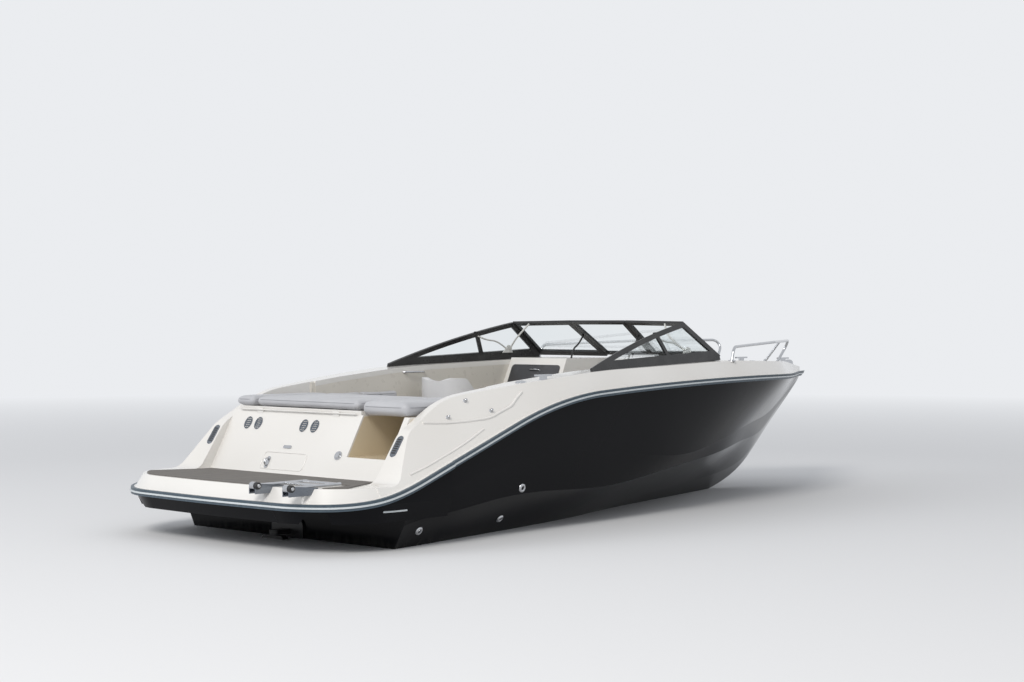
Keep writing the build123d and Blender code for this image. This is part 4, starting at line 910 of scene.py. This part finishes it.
THROTTLE = (2.98, -0.93, 0.93)      # on the cockpit's starboard wall
THROTTLE_BASE = ((0.0, 0.040), (0.030, 0.038), (0.048, 0.026), (0.055, 0.010), (0.058, -0.004))
THROTTLE_LEVER = ((2.98, -0.893, 0.93), (2.965, -0.885, 0.98), (2.94, -0.88, 1.07))
GRIP_FOOT = (2.945, -0.88, 1.055)
THROTTLE_GRIP = ((0.0, 0.055), (0.012, 0.053), (0.017, 0.044), (0.017, 0.012), (0.012, 0.0), (0.0, -0.002))
turned("throttle_base", THROTTLE_BASE, placed(THROTTLE, TO_PORT), 36, "screen_frame")
tube("throttle_lever", THROTTLE_LEVER, 0.008, "stainless")
grip = placed(GRIP_FOOT, (-0.25, 0, 1), TO_PORT)
turned("throttle_grip", THROTTLE_GRIP, grip, 24, "black_plastic")

# Steering wheel: its leather rim, and the cap on its hub with a bright ring
WHEEL_FOOT = (3.215, -0.590, 0.985)         # on the wheel's axle, at the column's end
WHEEL_AXIS = (-0.88, 0, 0.475)
WHEEL_REACH = 0.075         # from there to the plane of the rim
RIM_RADIUS = 0.166
RIM_POINTS = 24
HUB_CAP = ((0.0, 0.026), (0.024, 0.024), (0.034, 0.018), (0.038, 0.008), (0.038, -0.008))
HUB_RING = ((0.028, 0.0235), (0.031, 0.0255), (0.034, 0.0225))
axis = Vector(WHEEL_AXIS).normalized()
wheel = placed(Vector(WHEEL_FOOT) + axis * WHEEL_REACH, axis)
rim = []
for k in range(RIM_POINTS):
    turn = math.tau * k / RIM_POINTS
    rim.append(wheel @ Vector((RIM_RADIUS * math.cos(turn), RIM_RADIUS * math.sin(turn), 0)))
tube("wheel_grip", rim, 0.0158, "wheel_leather", "wheel_body", closed=True)
turned("wheel_cap", HUB_CAP, wheel, 36, "screen_frame", "wheel_body")
turned("wheel_ring", HUB_RING, wheel, 36, "stainless", "wheel_body")

# Cockpit: closing strips between deck and liner, loudspeakers, grab handles and the locker door's handle
STRIP_X = (1.044, 1.096)
STRIP_Y = (0.936, 0.975)
STRIP_Z = (0.94, 1.062)
SPEAKER_PLACE = (2.86, 0.93, 0.72)
SPEAKER = (
    (0.0, 0.007), (0.016, 0.009), (0.018, 0.005), (0.036, 0.006), (0.038, 0.009), (0.054, 0.008),
    (0.056, 0.005), (0.066, 0.006), (0.070, 0.012), (0.080, 0.010), (0.085, -0.004),
)
GRAB_HEIGHT = 1.125
GRAB_HANDLE = [
    (x, y, GRAB_HEIGHT)
    for x, y in ((2.06, 0.932), (2.08, 0.895), (2.18, 0.890), (2.28, 0.895), (2.30, 0.932))
]
DOOR_HANDLE = ((3.70, 0.262, 0.80), (3.70, 0.238, 0.79), (3.70, 0.238, 0.69), (3.70, 0.262, 0.68))
for side, hand in SIDES:
    right, left = sorted(side * y for y in STRIP_Y)
    plan = rounded_plan((STRIP_X[0], right), (STRIP_X[1], left), 0.004, 2)
    finished(f"closing_strip_{hand}", prism(plan, *STRIP_Z), "liner_gelcoat", smooth=False)
    place = placed(mirrored(SPEAKER_PLACE, side), (0, -side, 0))
    turned(f"speaker_{hand}", SPEAKER, place, 40, "black_plastic")
    tube(f"grab_handle_{hand}", [mirrored(point, side) for point in GRAB_HANDLE], 0.008, "stainless")
tube("door_handle", DOOR_HANDLE, 0.006, "stainless", "console_door_body")

# Camera at the photograph's place, fitted to the boat in the photograph
CAMERA_PLACE = (-8.602, -9.995, 1.553)
CAMERA_YAW = math.radians(42.283)           # from the bow's way towards port
CAMERA_PITCH = math.radians(-0.63)
camera = bpy.data.objects.new("camera", bpy.data.cameras.new("camera"))
scene.collection.objects.link(camera)
scene.camera = camera
camera.data.sensor_width = 36.0
camera.data.lens = 63.98
camera.data.clip_start, camera.data.clip_end = 0.1, 200.0
camera.location = CAMERA_PLACE
level = math.cos(CAMERA_PITCH)
view = Vector((math.cos(CAMERA_YAW) * level, math.sin(CAMERA_YAW) * level, math.sin(CAMERA_PITCH)))
camera.rotation_mode = "QUATERNION"
camera.rotation_quaternion = view.to_track_quat("-Z", "Y")

# Floor at the waterline and the world, in one pale tone wherever the camera, a mirror or glass sees them
BACKDROP = rgb(0.83, 0.845, 0.87)
STUDIO_LIGHT = rgb(0.92, 0.94, 0.97)
STUDIO_STRENGTH = 0.62
FLOOR_HALF = 90.0
FADE_CENTRE = (2.9, 0, 0)   # about the boat's middle
FADE = (7.5, 24.0)          # distances from it where the floor starts and ends to take the backdrop's tone


def seen_rays(tree):
    """1 for the rays by which the camera, a mirror or glass sees a thing, and 0 for the light's own."""
    path = tree.nodes.new("ShaderNodeLightPath")
    value = path.outputs["Is Camera Ray"]
    for kind in ("Is Glossy Ray", "Is Transmission Ray"):
        most = tree.nodes.new("ShaderNodeMath")
        most.operation = "MAXIMUM"
        tree.links.new(value, most.inputs[0])
        tree.links.new(path.outputs[kind], most.inputs[1])
        value = most.outputs[0]
    return value


def floor_material():
    """A matt pale floor that fades to the backdrop's own tone far from the boat."""
    shader = Shader("floor_look")
    shader.set(color=rgb(0.78, 0.785, 0.80), roughness=0.9, specular=0.1)
    away = shader.add("ShaderNodeVectorMath", {0: shader.coords(), 1: FADE_CENTRE}, operation="DISTANCE")
    far = shader.ramp(away.outputs["Value"], *FADE, 0.0, 1.0)
    share = shader.calculate("MULTIPLY", far, seen_rays(shader.tree))
    glow = shader.add("ShaderNodeEmission", {"Color": BACKDROP, "Strength": 1.0}).outputs[0]
    blend = shader.add("ShaderNodeMixShader", {0: share, 1: shader.surface.outputs[0], 2: glow})
    shader.put(shader.tree.nodes["Material Output"].inputs["Surface"], blend.outputs[0])
    return shader.material


floor_mesh = bpy.data.meshes.new("floor")
floor_corners = [(FLOOR_HALF * x, FLOOR_HALF * y, 0) for x, y in ((-1, -1), (1, -1), (1, 1), (-1, 1))]
floor_mesh.from_pydata(floor_corners, [], [(0, 1, 2, 3)])
floor = bpy.data.objects.new("floor", floor_mesh)
scene.collection.objects.link(floor)
floor.data.materials.append(floor_material())

world = bpy.data.worlds.new("studio")
scene.world = world
world.use_nodes = True
tree = world.node_tree
sky = tree.nodes["Background"]
sky.inputs[0].default_value = STUDIO_LIGHT
sky.inputs[1].default_value = STUDIO_STRENGTH
backdrop = tree.nodes.new("ShaderNodeBackground")
backdrop.inputs[0].default_value = BACKDROP
either = tree.nodes.new("ShaderNodeMixShader")
tree.links.new(seen_rays(tree), either.inputs[0])
tree.links.new(sky.outputs[0], either.inputs[1])
tree.links.new(backdrop.outputs[0], either.inputs[2])
tree.links.new(either.outputs[0], tree.nodes["World Output"].inputs["Surface"])


def lamp(name, place, target, watts, span, tint):
    """A square lamp that looks at a target."""
    data = bpy.data.lights.new(name, "AREA")
    data.energy, data.size, data.color = watts, span, tint
    made = bpy.data.objects.new(name, data)
    scene.collection.objects.link(made)
    made.location = place
    made.rotation_mode = "QUATERNION"
    made.rotation_quaternion = (Vector(target) - Vector(place)).to_track_quat("-Z", "Y")


lamp("key", (-17.0, -8.0, 17.0), (3, 0, 0.5), 3100, 8.0, (1.0, 0.97, 0.92))
lamp("fill", (-20.0, 12.0, 12.0), (2, 0, 0.5), 1100, 12.0, (0.93, 0.96, 1.0))

scene.view_settings.view_transform = "Standard"
